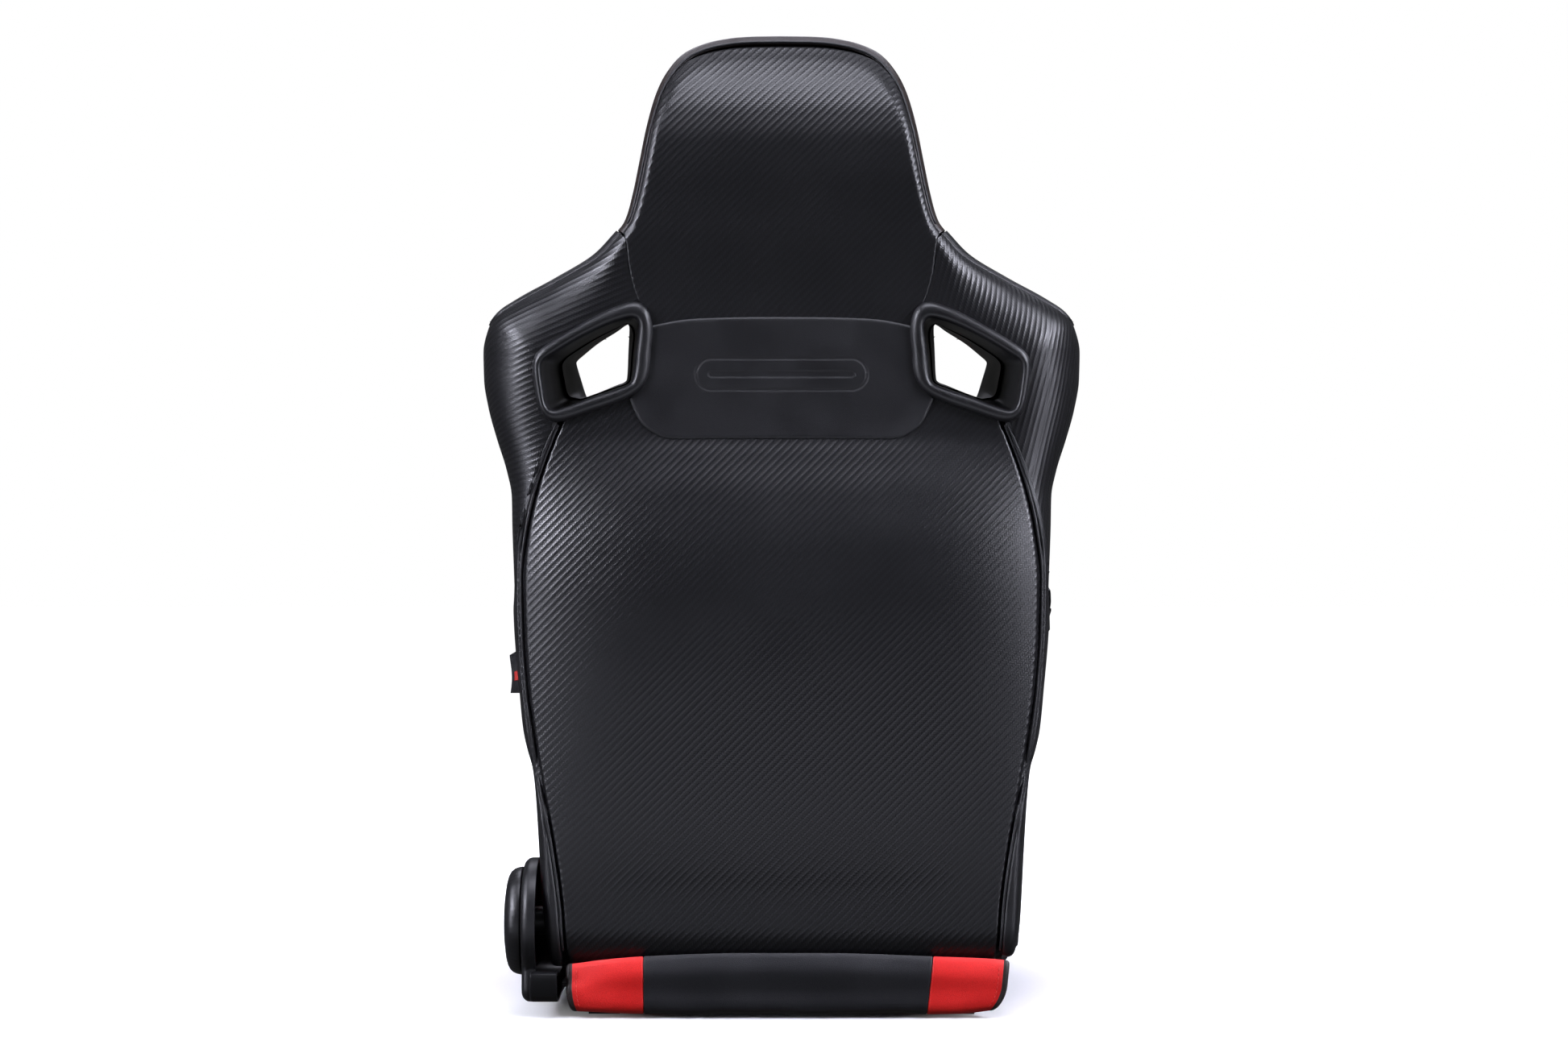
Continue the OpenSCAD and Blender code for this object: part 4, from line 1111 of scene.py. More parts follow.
def shoulder_front(label, side):
    """Smooth front of the shoulder. Along the top it laps over the outline to a seam on the rear."""
    seam, edge, front, t = side_rows(0, 9.3)
    # How far past the outline the cover reaches: over the top to the rear, lower down short of it
    lap = curve([(0, 7), (1, 7.5), (2, 7.5), (3, 7), (3.6, 5), (4.2, 0.5), (4.7, -14), (5.3, -24),
                 (9.3, -26)])(t)
    rear_span = np.linalg.norm(seam - edge, axis=1)
    front_span = np.linalg.norm(front - edge, axis=1)
    inner = -near_edge(46)[::-1]
    rows = []
    for i in range(len(t)):
        if lap[i] >= 0:
            outer = near_edge(9)[1:] * max(lap[i], 0.3) / rear_span[i]
            rows.append(np.concatenate([inner, outer]))
        else:
            start = lap[i] / front_span[i]
            rows.append(start - (1 + start) * near_edge(54)[::-1])
    grid = skin(seam, edge, front, np.array(rows))
    keep = ~inside(cell_middles(grid), FRONT_APERTURE, 5.0)
    out = run_out(grid, 0)
    drop = rolled(out[:, -1:] - out, 2.0)
    facing = np.broadcast_to(np.array([0.5, -0.8, 0.3]), grid.shape).copy()
    facing[:, 40:] = [0.7, 0.2, 0.6]
    grid = grid + normals_toward(grid, facing) * (2.0 - drop)[..., None]
    mesh = on_side(grid_shell(grid, COVER, facing, keep), side)
    add_padded(f"shoulder_front_{label}", mesh, VINYL, [f"shoulder_wing_{label}"], "back")
    # Cord along the rear seam of the lap
    pick = lap > 0.4
    line = grid[pick][:, -1]
    line = line + [0, 0.3, 0]
    add(f"shoulder_welt_{label}", on_side(tube(spread(line, 70), 1.3, 8), side), CORD_VINYL, "back")


def channels(at, pitch, depth, width):
    """Depth of sewn channels that repeat along a direction."""
    off = np.abs(np.mod(at / pitch + 0.5, 1) - 0.5) * pitch
    puff = np.cos(np.clip(off / pitch, 0, 0.5) * math.pi * 2) * -0.5 - 0.5
    return depth * np.exp(-((off / width) ** 2)) + 0.35 * depth * (puff + 1)


def crowned(x, half_width):
    """Share of a pad's crown across it: 1 in the middle and 0 at its edges."""
    return 1 - (x / half_width) ** 4


# Half widths and crowns of the two inserts, and their sewn channels: pitch, depth and width
BACK_HALF, CUSHION_HALF = 149.5, 147.6
BACK_CROWN, CUSHION_CROWN = 5.0, 4.5
BACK_SEWN, CUSHION_SEWN = (44.0, 4.2, 3.0), (46.0, 4.5, 3.2)


def back_insert():
    """Middle of the back's front: sewn across in channels, with a piping beside each bolster."""
    low = 98
    ends = np.array([0, 0.5, 1.5, 3])
    x = np.concatenate([ends - BACK_HALF, np.linspace(-144, 144, 73), BACK_HALF - ends[::-1]])
    z = np.linspace(588, low, 200)
    turn = np.linspace(0, math.radians(66), 16)[1:]
    edge_x = np.minimum(1, insert_edge(z) / 150)
    grid = np.empty((len(z), len(x), 3))
    grid[..., 0] = x[None] * edge_x[:, None]
    grid[..., 2] = z[:, None]
    gap = BACK_HALF - np.abs(x)
    crown = (BACK_CROWN * crowned(x, BACK_HALF))[None] * smoothstep((z - low) / 60)[:, None]
    roll = 0.8 * rolled(gap, 5.0)[None]
    sewn = channels(z - low, *BACK_SEWN)[:, None] * smoothstep(gap / 14)[None]
    in_body = (smoothstep((z - 150) / 20) * smoothstep((556 - z) / 16))[:, None]
    grid[..., 1] = front_middle(z)[:, None] - 1.5 - crown + roll + sewn * in_body
    heel = np.empty((len(turn), len(x), 3))
    heel[..., 0] = grid[-1, :, 0][None]
    radius = (-grid[-1, :, 1])[None]
    heel[..., 1] = -radius * np.cos(turn)[:, None]
    heel[..., 2] = low - (9 + 0.82 * radius) * np.sin(turn)[:, None]
    mesh = grid_shell(np.concatenate([grid, heel]), 8, (0, -1, 0))
    add_padded("back_insert_cover", mesh, VINYL, ["back_insert"], "back")
    seams = []
    along = np.linspace(-138, 138, 100)
    for level in np.arange(low + 2 * BACK_SEWN[0], 556, BACK_SEWN[0]):
        y = front_middle(level) - 1.5 - BACK_CROWN * crowned(along, BACK_HALF) + channels(0.0, *BACK_SEWN)
        seams.append(np.stack([along, y - 0.5, np.full(100, level)], 1))
    add("back_insert_stitching", stitches(seams), RED_THREAD, "back")
    for label, side in SIDES.items():
        level = np.linspace(560, 100, 120)
        line = np.stack([np.minimum(150, insert_edge(level)) + 0.5, front_middle(level) - 0.5, level], 1)
        add(f"insert_piping_{label}", on_side(tube(line, 2.4, 10), side), RED, "back")


def chest():
    """Panel between the slots, under the head cushion."""
    low = spline([(-132, 556), (-60, 558), (0, 558), (60, 558), (132, 556)], 120)
    high = spline([(-134, 704), (-60, 702), (0, 702), (60, 702), (134, 704)], 120)
    left = spline([(-132, 556), (-128, 590), (-127, 640), (-129, 676), (-134, 704)], 60)
    share = dense_ends(60, 0.7)
    side = at_shares(left, dense_ends(50, 0.7))
    flat = coons(at_shares(low, share), at_shares(high, share), side, side * [-1, 1])
    grid = on_front(flat)
    x, z, half_width = flat[..., 0], flat[..., 1], 127
    grid[..., 1] -= 2.2 + 4.0 * np.clip(crowned(x, half_width), 0, 1) * smoothstep((z - 556) / 30)
    grid[..., 1] += 3.0 * (1 - smoothstep(np.minimum(half_width - np.abs(x), z - 554) / 6))
    add_padded("chest_cover", grid_shell(grid, 6, (0, -1, 0)), VINYL, ["chest_panel"], "back")


# First and last of the side's pairs that the bolster spans
BOLSTER_ROWS = 7.6, 20.7


def back_bolster(label, side):
    """Side bolster of the back: a pad from a seam halfway along the side, over its crest, to the insert."""
    seam, edge, front, t = side_rows(*BOLSTER_ROWS)
    shares = np.concatenate([near_edge(30)[::-1], -near_edge(70)[1:]])
    path = skin(seam, edge, front, shares)
    out = run_out(path, 0)
    start = bolster_start(t, out, shares)
    u = dense_ends(74, 0.8)
    grid = np.empty((len(t), len(u), 3))
    along = start[:, None] + (out[:, -1:] - start[:, None]) * u
    for i in range(len(t)):
        grid[i] = at_lengths(path[i], out[i], along[i])
    narrow = curve([(128, 221), (213, 221.5), (228, 226), (244, 238), (262, 249), (300, 262)])(grid[..., 2])
    down = length_along(grid[:, 40])[:, None]
    outer_gap, inner_gap = along - start[:, None], out[:, -1:] - along
    end_gap = np.minimum(down, down[-1] - down)
    drops = rolled(outer_gap, 4.2), rolled(inner_gap, 6.0), rolled(end_gap, 5.0)
    swell = 3.4 - np.maximum.reduce(np.broadcast_arrays(*drops))
    facing = np.broadcast_to(np.array([0.35, -1.0, 0.05]), grid.shape)
    grid = lifted(grid, swell, facing)
    grid[..., 0] = np.minimum(grid[..., 0], narrow)
    mesh = on_side(grid_shell(grid, 6, facing), side)
    add_padded(f"back_bolster_cover_{label}", mesh, RED, [f"back_bolster_{label}"], "back")
    line = [at_lengths(grid[i], along[i], [start[i] + 8])[0] for i in range(4, len(t) - 22)]
    line = np.array(line) + [0.35, -0.2, 0]
    add(f"back_bolster_stitching_{label}", on_side(stitches([line]), side), BLACK_THREAD, "back")


def bolster_start(t, out, shares):
    """Distance from the rear seam at which the bolster starts: near the crest at its top, then round
    the side."""
    at_top = np.array([np.interp(0.2, -shares, row) for row in out])
    on_the_side = curve([(BOLSTER_ROWS[0], 122), (13, 119), (16, 112), (18, 110), (BOLSTER_ROWS[1], 104)])(t)
    low_down = smoothstep((t - BOLSTER_ROWS[0]) / 5.0)
    return at_top * (1 - low_down) + on_the_side * low_down


def side_label():
    """Folded woven label in the left seam, with a plain red block."""
    foot, root, reach = 310, 250, 12
    z = np.linspace(foot, foot + 39, 14)
    x = np.linspace(root, root + reach, 9)
    lean = (z - foot)[:, None] * np.linspace(0.14, -0.06, len(x))[None]
    grid = np.empty((len(z), len(x), 3))
    grid[..., 0] = x[None] + 1.2 * np.sin(z / 9)[:, None] * (x[None] - root) / reach
    grid[..., 1] = 9.0 + 0.8 * np.sin(z / 7)[:, None] * (x[None] - root) / reach
    grid[..., 2] = z[:, None] + lean
    add("seam_label", grid_shell(grid, 1.1, (0, 1, 0)), TAPE, "back", ["side_label"])
    block = grid[4:8, 2:7] + [0, 0.3, 0]
    add("seam_label_block", grid_shell(block, 0.4, (0, 1, 0)), RED_THREAD, "back")


def add_foam(name, node, body):
    """Moulded foam behind the covers, with soft edges."""
    data = frame["nodes"][node].data.copy()
    shape = bmesh.new()
    shape.from_mesh(data)
    bmesh.ops.remove_doubles(shape, verts=shape.verts, dist=1e-6)
    shape.to_mesh(data)
    shape.free()
    data.name = name
    data.materials.clear()
    data.materials.append(FOAM)
    piece = linked(name, data)
    remesh = piece.modifiers.new("remesh", "REMESH")
    remesh.mode = "VOXEL"
    remesh.voxel_size = 0.006
    smooth = piece.modifiers.new("smooth", "SMOOTH")
    smooth.iterations = 6
    bpy.context.view_layer.update()
    final = bpy.data.meshes.new_from_object(piece.evaluated_get(bpy.context.evaluated_depsgraph_get()))
    piece.modifiers.clear()
    piece.data = final
    final.name = name
    middle = sum((v.co for v in final.vertices), Vector()) / len(final.vertices)
    for v in final.vertices:
        v.co = middle + (v.co - middle) * 0.992
    final.shade_smooth()
    final.materials.clear()
    final.materials.append(FOAM)
    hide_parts(node)
    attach(piece, body)


# ---------------------------------------------------------------- cushion and its tail

# The tail's seams with its red corners and their dark end strips, and its ends, across the seat
TAIL_SEAM, TAIL_STRIP, TAIL_X = 137.0, 205.6, 211.0
# How far the tail sits to the sitter's right, and where its notched ends start
TAIL_SHIFT, TAIL_NOTCH = 5.0, 31.0
# Radius of the hollow that clears the back's round heel
HOLLOW_R = 53.0
# Height of the tail's lip under the back, across the seat
tail_lip = curve([(-212, 57.5), (-200, 59.5), (-137, 62.5), (-40, 66), (40, 66), (137, 62.5), (180, 58.5),
                  (203, 55), (212, 54.5)])


def tail_section(lip, notched=False):
    """The tail's section, as (y, z): a soft rear face, its lip under the back, and the hollow in front.
    At the ends it is notched, clear of the recliner's brackets."""
    lip_y = math.sqrt((HOLLOW_R - 0.2) ** 2 - (PIVOT_Z - lip + 2.2) ** 2)
    rear = [(30, 4.4), (36, 4.0), (41.5, 7.5), (44.6, 14), (46.6, 28), (lip_y + 6.3, lip - 19),
            (lip_y + 5.2, lip - 7), (lip_y + 3, lip - 2), (lip_y, lip - 2.2)]
    top = math.asin((PIVOT_Z - lip + 6) / HOLLOW_R)
    if notched:
        front = [(TAIL_NOTCH, 46), (TAIL_NOTCH, 26), (TAIL_NOTCH, 8)]
        end = math.acos(TAIL_NOTCH / HOLLOW_R)
        rear = rear[1:]
    else:
        front = [(-58, 98), (-62, 92), (-62.5, 60), (-62, 36), (-56, 33.5), (0, 33.5), (22, 33), (26, 28),
                 (26.5, 8)]
        end = math.radians(172)
    turn = -np.linspace(top, end, 40)
    hollow = np.stack([HOLLOW_R * np.cos(turn), PIVOT_Z + HOLLOW_R * np.sin(turn)], 1)
    return np.concatenate([spline(front + rear, 90), hollow])


def tail_form(points):
    """The tail's cover as it is pulled on: corners drawn in below, one end leaning, and off centre."""
    x, y, z = np.asarray(points, float).T
    amount = np.where(x > 0, 4.5, 9.0)
    draw = amount * np.clip((32 - z) / 28, 0, 1) ** 2 * smoothstep((np.abs(x) - 150) / 62)
    lean = 0.1 * (z - 32) * smoothstep((-x - 90) / 40)
    lift = 3.5 * smoothstep((np.abs(x) - 165) / 45) * np.clip(1 - z / 30, 0, 1)
    return np.stack([x - np.sign(x) * draw - lean - TAIL_SHIFT, y, z + lift], 1)


def tail_piece(x0, x1, round0, round1, notched=False):
    """A length of the tail between two seams, eased at each by its own radius."""
    stations = []
    for turn in np.linspace(0, math.pi / 2, 7):
        stations.append((x0 + round0 * (1 - math.cos(turn)), round0 * (1 - math.sin(turn))))
    for x in np.linspace(x0 + round0, x1 - round1, max(4, int((x1 - x0) / 7)))[1:-1]:
        stations.append((x, 0.0))
    for turn in np.linspace(math.pi / 2, 0, 7):
        stations.append((x1 - round1 * (1 - math.cos(turn)), round1 * (1 - math.sin(turn))))
    loops = []
    for x, inset in stations:
        flat = tail_section(float(tail_lip(x)), notched)
        middle = np.array([38.0 if notched else 20.0, 32.0])
        flat = flat - unit(flat - middle) * inset
        puckers = 0.5 * math.sin(x / 21.0) + 0.35 * math.sin(x / 9.0 + 1)
        puckers = puckers * smoothstep((22 - flat[:, 1]) / 18)
        swell = 0.7 * math.sin(math.pi * (x - x0) / (x1 - x0)) * (flat[:, 0] > 40)
        loop = np.stack([np.full(len(flat), x), flat[:, 0] + swell, flat[:, 1] + puckers], 1)
        loops.append(tail_form(loop))
    return loops_mesh(loops)


def tail_line(x, low, high):
    """A line down the tail's rear face, for sewing."""
    z = np.linspace(low, high, 30)
    section = tail_section(float(tail_lip(x)))
    face = section[(section[:, 0] > 40) & (np.arange(len(section)) < 90)]
    y = np.interp(z, face[:, 1], face[:, 0])
    return tail_form(np.stack([np.full(len(z), x), y + 0.9, z], 1))


def cushion_tail():
    """The tail's black middle, its red corners and their dark end strips."""
    end = TAIL_SEAM - 0.15
    add_padded("cushion_tail_cover", tail_piece(-end, end, 1.6, 1.6), TAIL_VINYL, ["cushion_tail"])
    for label, side in SIDES.items():
        seam, strip, end = side * (TAIL_SEAM + 0.15), side * TAIL_STRIP, side * TAIL_X
        red = tail_piece(seam, strip, 1.6, 0.8) if side > 0 else tail_piece(strip, seam, 0.8, 1.6)
        edge = (tail_piece(strip - 0.4, end, 0.6, 3.6, True) if side > 0
                else tail_piece(end, strip + 0.4, 3.6, 0.6, True))
        add_padded(f"tail_corner_cover_{label}", red, RED, [f"tail_corner_{label}"])
        add(f"tail_edge_{label}", edge, EDGE_VINYL, "base", crease=60)
        add(f"tail_stitching_{label}", stitches([tail_line(strip - side * 4.5, 10, 52)], 4.6, 3.2, 0.42),
            RED_THREAD, "base")
        add(f"tail_edge_stitching_{label}", stitches([tail_line(strip + side * 2.4, 10, 50)], 4.6, 3.0, 0.4),
            BLACK_THREAD, "base")


# Heights along the cushion; y here is measured from the mounting holes' centre
cushion_top = curve([(-294, 96), (-291, 120), (-284, 138), (-268, 149), (-238, 152), (-180, 140), (-100, 124),
                     (-20, 113), (60, 106), (112, 102), (127, 99)])
bolster_top = curve([(-294, 120), (-290, 136), (-278, 152), (-256, 165), (-200, 173), (-100, 178), (0, 180),
                     (68, 171), (92, 152), (106, 124), (116, 96), (124, 78), (127, 66)])
bolster_low = curve([(-294, 110), (-290, 70), (-282, 44), (-268, 30), (-250, 26), (127, 26)])


def cushion_insert():
    """Middle of the cushion, sewn across in channels, and turned down over the nose."""
    y = np.concatenate([np.linspace(127, -250, 150), np.linspace(-252, -284, 16),
                        [-287, -289.5, -291.5, -293, -293.8]])
    ends = np.array([0, 0.6, 1.6, 3.1])
    x = np.concatenate([ends - CUSHION_HALF, np.linspace(-142, 142, 72), CUSHION_HALF - ends[::-1]])
    gap = CUSHION_HALF - np.abs(x)
    crown = CUSHION_CROWN * crowned(x, CUSHION_HALF)
    roll = 0.8 * rolled(gap, 5.0)
    sewn = channels(y + 250, *CUSHION_SEWN)[:, None] * smoothstep(gap / 14)[None]
    sewn *= (smoothstep((y + 236) / 16) * smoothstep((100 - y) / 16))[:, None]
    z = cushion_top(y)[:, None] + crown * smoothstep((y[:, None] + 292) / 30) - roll - sewn
    top = np.stack([np.broadcast_to(x[None], z.shape), np.broadcast_to(y[:, None], z.shape), z], -1)
    front_z = np.linspace(94, 36, 18)
    front_y = -294.5 + rolled(front_z - 34, 60) * 32 / 60
    nose = np.empty((len(front_z), len(x), 3))
    nose[..., 0] = x[None]
    nose[..., 1] = front_y[:, None] + roll[None] - 1.6 * crowned(x, CUSHION_HALF)[None]
    nose[..., 2] = front_z[:, None]
    grid = np.concatenate([top, nose]) - [0, PIVOT_Y, 0]
    outward = np.zeros_like(grid)
    outward[: len(y), :, 2] = 1
    outward[len(y) - 20 :, :, 1] = -1
    add_padded("cushion_insert_cover", grid_shell(grid, 8, outward), VINYL, ["cushion_insert"])
    seams = []
    along = np.linspace(-136, 136, 90)
    for level in np.arange(-250 + CUSHION_SEWN[0], 90, CUSHION_SEWN[0]):
        z = cushion_top(level) + CUSHION_CROWN * crowned(along, CUSHION_HALF) + 0.5
        z = z - channels(0.0, *CUSHION_SEWN)
        seams.append(np.stack([along, np.full(90, level - PIVOT_Y), z], 1))
    add("cushion_stitching", stitches(seams), RED_THREAD, "base")


# Height of the bolster's seam, as a share of its section
SIDE_SEAM_Z = 0.62
# Points round the bolster's section below its seam and above it
BELOW_SEAM, ABOVE_SEAM = 34, 74


def bolster_section(y):
    """Closed section of the cushion's bolster at one place along it, as (x, z), and its seam's height.

    It starts at the outer seam, goes underneath to the inner side, and comes back over the top.
    """
    top, low = float(bolster_top(y)), float(bolster_low(y))
    seat = min(float(cushion_top(y)) - 1, top - 4)
    tall = top - low
    points = [(148.4, max(low + 6, 32)), (148.4, max(low + 8, seat - 10)), (151, seat + 3),
              (159, seat + 0.34 * (top - seat)), (172, seat + 0.74 * (top - seat)), (187, top - 3.5),
              (203, top), (217, top - 6), (225, low + 0.84 * tall), (228, low + 0.6 * tall),
              (226, low + 0.36 * tall), (211, low + 0.16 * tall), (205, low + 4), (198, low), (160, low + 1)]
    route = spline(points, 480, closed=True)
    seam = low + SIDE_SEAM_Z * tall
    z, count = route[:, 1], len(route)
    crest = int(z.argmax())
    rising, falling = np.maximum.accumulate(z[: crest + 1]), np.maximum.accumulate(-z[crest:])
    inner = np.interp(min(seam, max(low + 7, seat - 5)), rising, np.arange(crest + 1))
    outer = crest + np.interp(-seam, falling, np.arange(count - crest))
    at = np.concatenate([outer + (count + inner - outer) * dense_ends(BELOW_SEAM + 1, 0.6)[:-1],
                         count + inner + (outer - inner) * dense_ends(ABOVE_SEAM + 1, 0.6)[:-1]])
    return at_lengths(np.concatenate([route, route]), np.arange(2 * count), at), seam


def cushion_bolster(label, side):
    """Side bolster of the cushion, a fat pad whose ends pull in: red above its seam, black below."""
    y = np.concatenate([[-293.4, -293, -292, -290], np.linspace(-287, 118, 92),
                        [121, 123.5, 125.3, 126.4, 126.8]])
    loops, seam = [], []
    for at in y:
        flat, seam_z = bolster_section(at)
        middle = flat.mean(0)
        end = min(at + 293.8, 127.2 - at)
        pull = 1 - 0.10 * (1 - min(1, end / 14)) ** 2
        outer = flat[:, 0] > 190
        dent = 1.1 * np.exp(-(((flat[:, 1] - seam_z) / 2.2) ** 2)) * outer
        flat = flat - np.stack([dent, np.zeros(len(flat))], 1)
        flat = middle + (flat - middle) * pull
        loops.append(np.stack([flat[:, 0], np.full(len(flat), at - PIVOT_Y), flat[:, 1]], 1))
        seam.append(seam_z)
    verts, faces = loops_mesh(loops, caps=False)
    count = BELOW_SEAM + ABOVE_SEAM
    last = len(verts) - count
    below, above = list(range(BELOW_SEAM + 1)), [*range(BELOW_SEAM, count), 0]
    faces += [below[::-1], [last + i for i in below], above[::-1], [last + i for i in above]]
    mesh = on_side((verts, faces), side)
    piece = add_padded(f"cushion_bolster_cover_{label}", mesh, RED, [f"cushion_bolster_{label}"])
    # Everything below the seam is black vinyl
    piece.data.materials.append(VINYL)
    for i, face in enumerate(piece.data.polygons):
        black_end = len(faces) - 4 <= i < len(faces) - 2
        if black_end or i < len(faces) - 4 and i % count < BELOW_SEAM:
            face.material_index = 1
    lines = []
    for shift in (4.0, -4.0):
        line = []
        for loop, seam_z in list(zip(loops, seam))[6:-8]:
            outer = loop[loop[:, 0] > 200]
            order = np.argsort(outer[:, 2])
            x = np.interp(seam_z + shift, outer[order, 2], outer[order, 0])
            line.append([x + 0.35, loop[0, 1], seam_z + shift])
        lines.append(line)
    add(f"cushion_bolster_stitching_{label}", on_side(stitches(lines), side), RED_THREAD, "base")


# ---------------------------------------------------------------- metal and plastic


def mechanism():
    """The base, the recliners and the frame."""
    for label in SIDES:
        rounded_copy(f"bracket_{label}", f"recliner_bracket_{label}", 0.7, STEEL, "base")
        rounded_copy(f"arm_{label}", f"recliner_arm_{label}", 0.7, STEEL, "back")
        # The discs get dark metal, partly as painted shade for the gap beside the recliner.
        for kind in ("fixed", "moving"):
            paint(f"recliner_{kind}_disc_{label}", DARK_METAL_GAP_SHADE)
    rounded_copy("rails", "base_rails", 1.2, STEEL, "base")
    recliner_cover()
    for node in ("base_cross_tubes", "back_frame", "back_cross_bars"):
        paint(node, STEEL)
    for node in ("mount_nuts", "seat_springs", "back_springs"):
        paint(node, ZINC)
    # Bolts, screws and the shaft get dark metal, partly as painted shade for the gap beside the recliner.
    for node in ("bracket_bolts", "arm_bolts", "cover_screws", "recliner_shaft"):
        paint(node, DARK_METAL_GAP_SHADE)
    paint("spring_clips", PLASTIC)
    handwheel()


def paint(node, material):
    """A better finish on a CAD part whose shape stays."""
    data = frame["nodes"][node].data
    data.materials.clear()
    data.materials.append(material)


# The recliner cover's inner and outer faces, its wall and its outer edge's radius
COVER_IN, COVER_OUT, COVER_WALL, COVER_ROUND = 235.0, 249.0, 3.0, 8.0
# Inner face of the low box it stands on
FOOT_IN = 214.5


def moved_in(loop, inset):
    """A closed outline moved inwards."""
    ahead = unit(np.roll(loop, -1, 0) - np.roll(loop, 1, 0))
    inward = np.stack([-ahead[:, 1], ahead[:, 0]], 1)
    area = (loop[:, 0] * np.roll(loop[:, 1], -1) - np.roll(loop[:, 0], -1) * loop[:, 1]).sum()
    return loop + (inward if area > 0 else -inward) * inset


def side_loop(loop, x):
    """A (y, z) outline as points at one place across the seat."""
    return np.stack([np.full(len(loop), x), loop[:, 0], loop[:, 1]], 1)


def ring(radius, x, turn):
    """Points round the recline axis."""
    return side_loop(np.stack([radius * np.cos(turn), PIVOT_Z + radius * np.sin(turn)], 1), x)


def full_turn(count):
    """Even angles round a circle."""
    return np.linspace(0, 2 * math.pi, count, endpoint=False)


def shell_along_x(loop, x_in, x_out, wall, round_r):
    """A moulded dish: open towards the seat, its outer edge rounded."""
    turns = np.linspace(0, math.pi / 2, 9)
    outer = [side_loop(moved_in(loop, round_r * (1 - math.cos(t))), x_out - round_r + round_r * math.sin(t))
             for t in turns]
    core = round_r - wall
    inner = [side_loop(moved_in(loop, wall + core * (1 - math.cos(t))), x_out - round_r + core * math.sin(t))
             for t in turns[::-1]]
    lip = [side_loop(moved_in(loop, wall), x_in), side_loop(moved_in(loop, wall / 2), x_in - 0.4),
           side_loop(loop, x_in)]
    return loops_mesh([*inner, *lip, *outer])


def recliner_cover():
    """Cover over the left recliner: a round shell, the low box it stands on, and a boss for the shaft."""
    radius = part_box("recliner_cover")[1].z / MM - PIVOT_Z
    turn = np.radians(np.linspace(-42, 148, 60))
    arc_part = np.stack([radius * np.cos(turn), PIVOT_Z + radius * np.sin(turn)], 1)
    body = spline([(-96, 84), (-118, 74), (-150, 60), (-167, 51), (-176, 40), (-174, 25), (-163, 16),
                   (-150, 15), (-60, 15), (20, 15), (34, 15.5), (43, 20), (46, 27)], 150)
    outline_yz = np.concatenate([arc_part, body])
    outline_yz = spread(np.concatenate([outline_yz, outline_yz[:1]]), 241)[:-1]
    shell = shell_along_x(outline_yz, COVER_IN, COVER_OUT, COVER_WALL, COVER_ROUND)
    foot = spline([(-169, 44), (-170, 28), (-160, 17), (-140, 15.5), (-60, 15.5), (30, 15.5), (44, 19),
                   (50, 28), (53, 43), (48, 45.5), (30, 45), (12, 40.5), (0, 40), (-12, 40.5), (-30, 45),
                   (-100, 45.5), (-160, 45.5)], 200, closed=True)
    box = shell_along_x(foot, FOOT_IN, COVER_IN + 6, COVER_WALL, 3.2)
    profile = [(8.2, 216), (13.2, 216), (13.8, 217), (13.8, COVER_OUT - 2), (8.2, COVER_OUT - 2)]
    boss = loops_mesh([ring(r, x, full_turn(48)) for r, x in profile], closed_ring=True)
    turn = np.radians(np.linspace(168, 232, 24))
    wall = np.array([ring(radius * 0.985, x, turn) for x in (217, COVER_OUT - 4)])
    shroud = grid_shell(wall, 2.6, wall - [217, 0, PIVOT_Z])
    add("side_cover_recliner", joined(shell, box, boss, shroud), PLASTIC, "base",
        ["recliner_cover"], crease=40)


def handwheel():
    """Handwheel: a domed disc with a finely ribbed grip, and its cap."""
    low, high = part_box("handwheel")
    inner, outer = low.x / MM, high.x / MM
    radius = (high.z - low.z) / 2 / MM
    flutes = 60
    turn = full_turn(flutes * 6)
    # The rim as (distance in from the edge, distance out from the back), then the dish by radius
    rim = [(9, 0.0), (1.0, 0.0), (0.2, 0.5), (0, 1.4), (0.2, 3.4), (0.8, 6.0), (2.1, 9.0), (4.6, 11.9),
           (8.2, 13.9), (12.4, 15.1), (17, 15.9)]
    dish = [(28, 16.9), (20, 17.6), (15.4, 18.0), (14.4, 17.6), (14.0, 16.4), (14.0, 12.0), (8, 12.0)]
    loops = []
    for r, x in [(8, 0.35), *[(radius - inset, x) for inset, x in rim], *dish]:
        grip = smoothstep((r - radius + 3.5) / 2) * smoothstep((x - 1.2) / 2) * smoothstep((11 - x) / 2)
        fluted = r - 0.12 * grip * (0.5 - 0.5 * np.cos(flutes * turn))
        loops.append(ring(fluted, inner + min(x, outer - inner), turn))
    add("handwheel_rim", loops_mesh(loops, closed_ring=True), WHEEL_PLASTIC, "handwheel",
        ["handwheel"], crease=50)
    low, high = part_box("handwheel_cap")
    inner, radius = low.x / MM, (high.z - low.z) / 2 / MM
    rim = [(0, 0), (0, 4.6), (0.4, 5.6), (1.4, 6.2), (4, 6.5), (5.0, 6.1), (6.2, 5.9), (radius - 2, 6.0)]
    loops = [ring(radius - inset, inner + x, full_turn(64)) for inset, x in rim]
    add("handwheel_button", loops_mesh(loops), PLASTIC, "handwheel", ["handwheel_cap"], crease=50)


# ---------------------------------------------------------------- camera, light and floor

# Metres
CAMERA_AT = (-0.0024, 3.19, 0.475)
LENS = 71.0
# Strength of the surroundings' light on the seat, and of the white backdrop that is seen
WORLD_LIGHT, WORLD_SEEN = 0.06, 1.0
# Colour of the lamps, a little cool
LAMP = (0.91, 0.92, 1.06)


def camera():
    """Level camera straight behind the seat."""
    data = bpy.data.cameras.new("camera")
    data.lens = LENS
    data.sensor_width = 36.0
    data.clip_end = 60
    made = linked("camera", data)
    made.location = CAMERA_AT
    made.rotation_euler = (math.radians(90), 0, math.radians(180))
    bpy.context.scene.camera = made


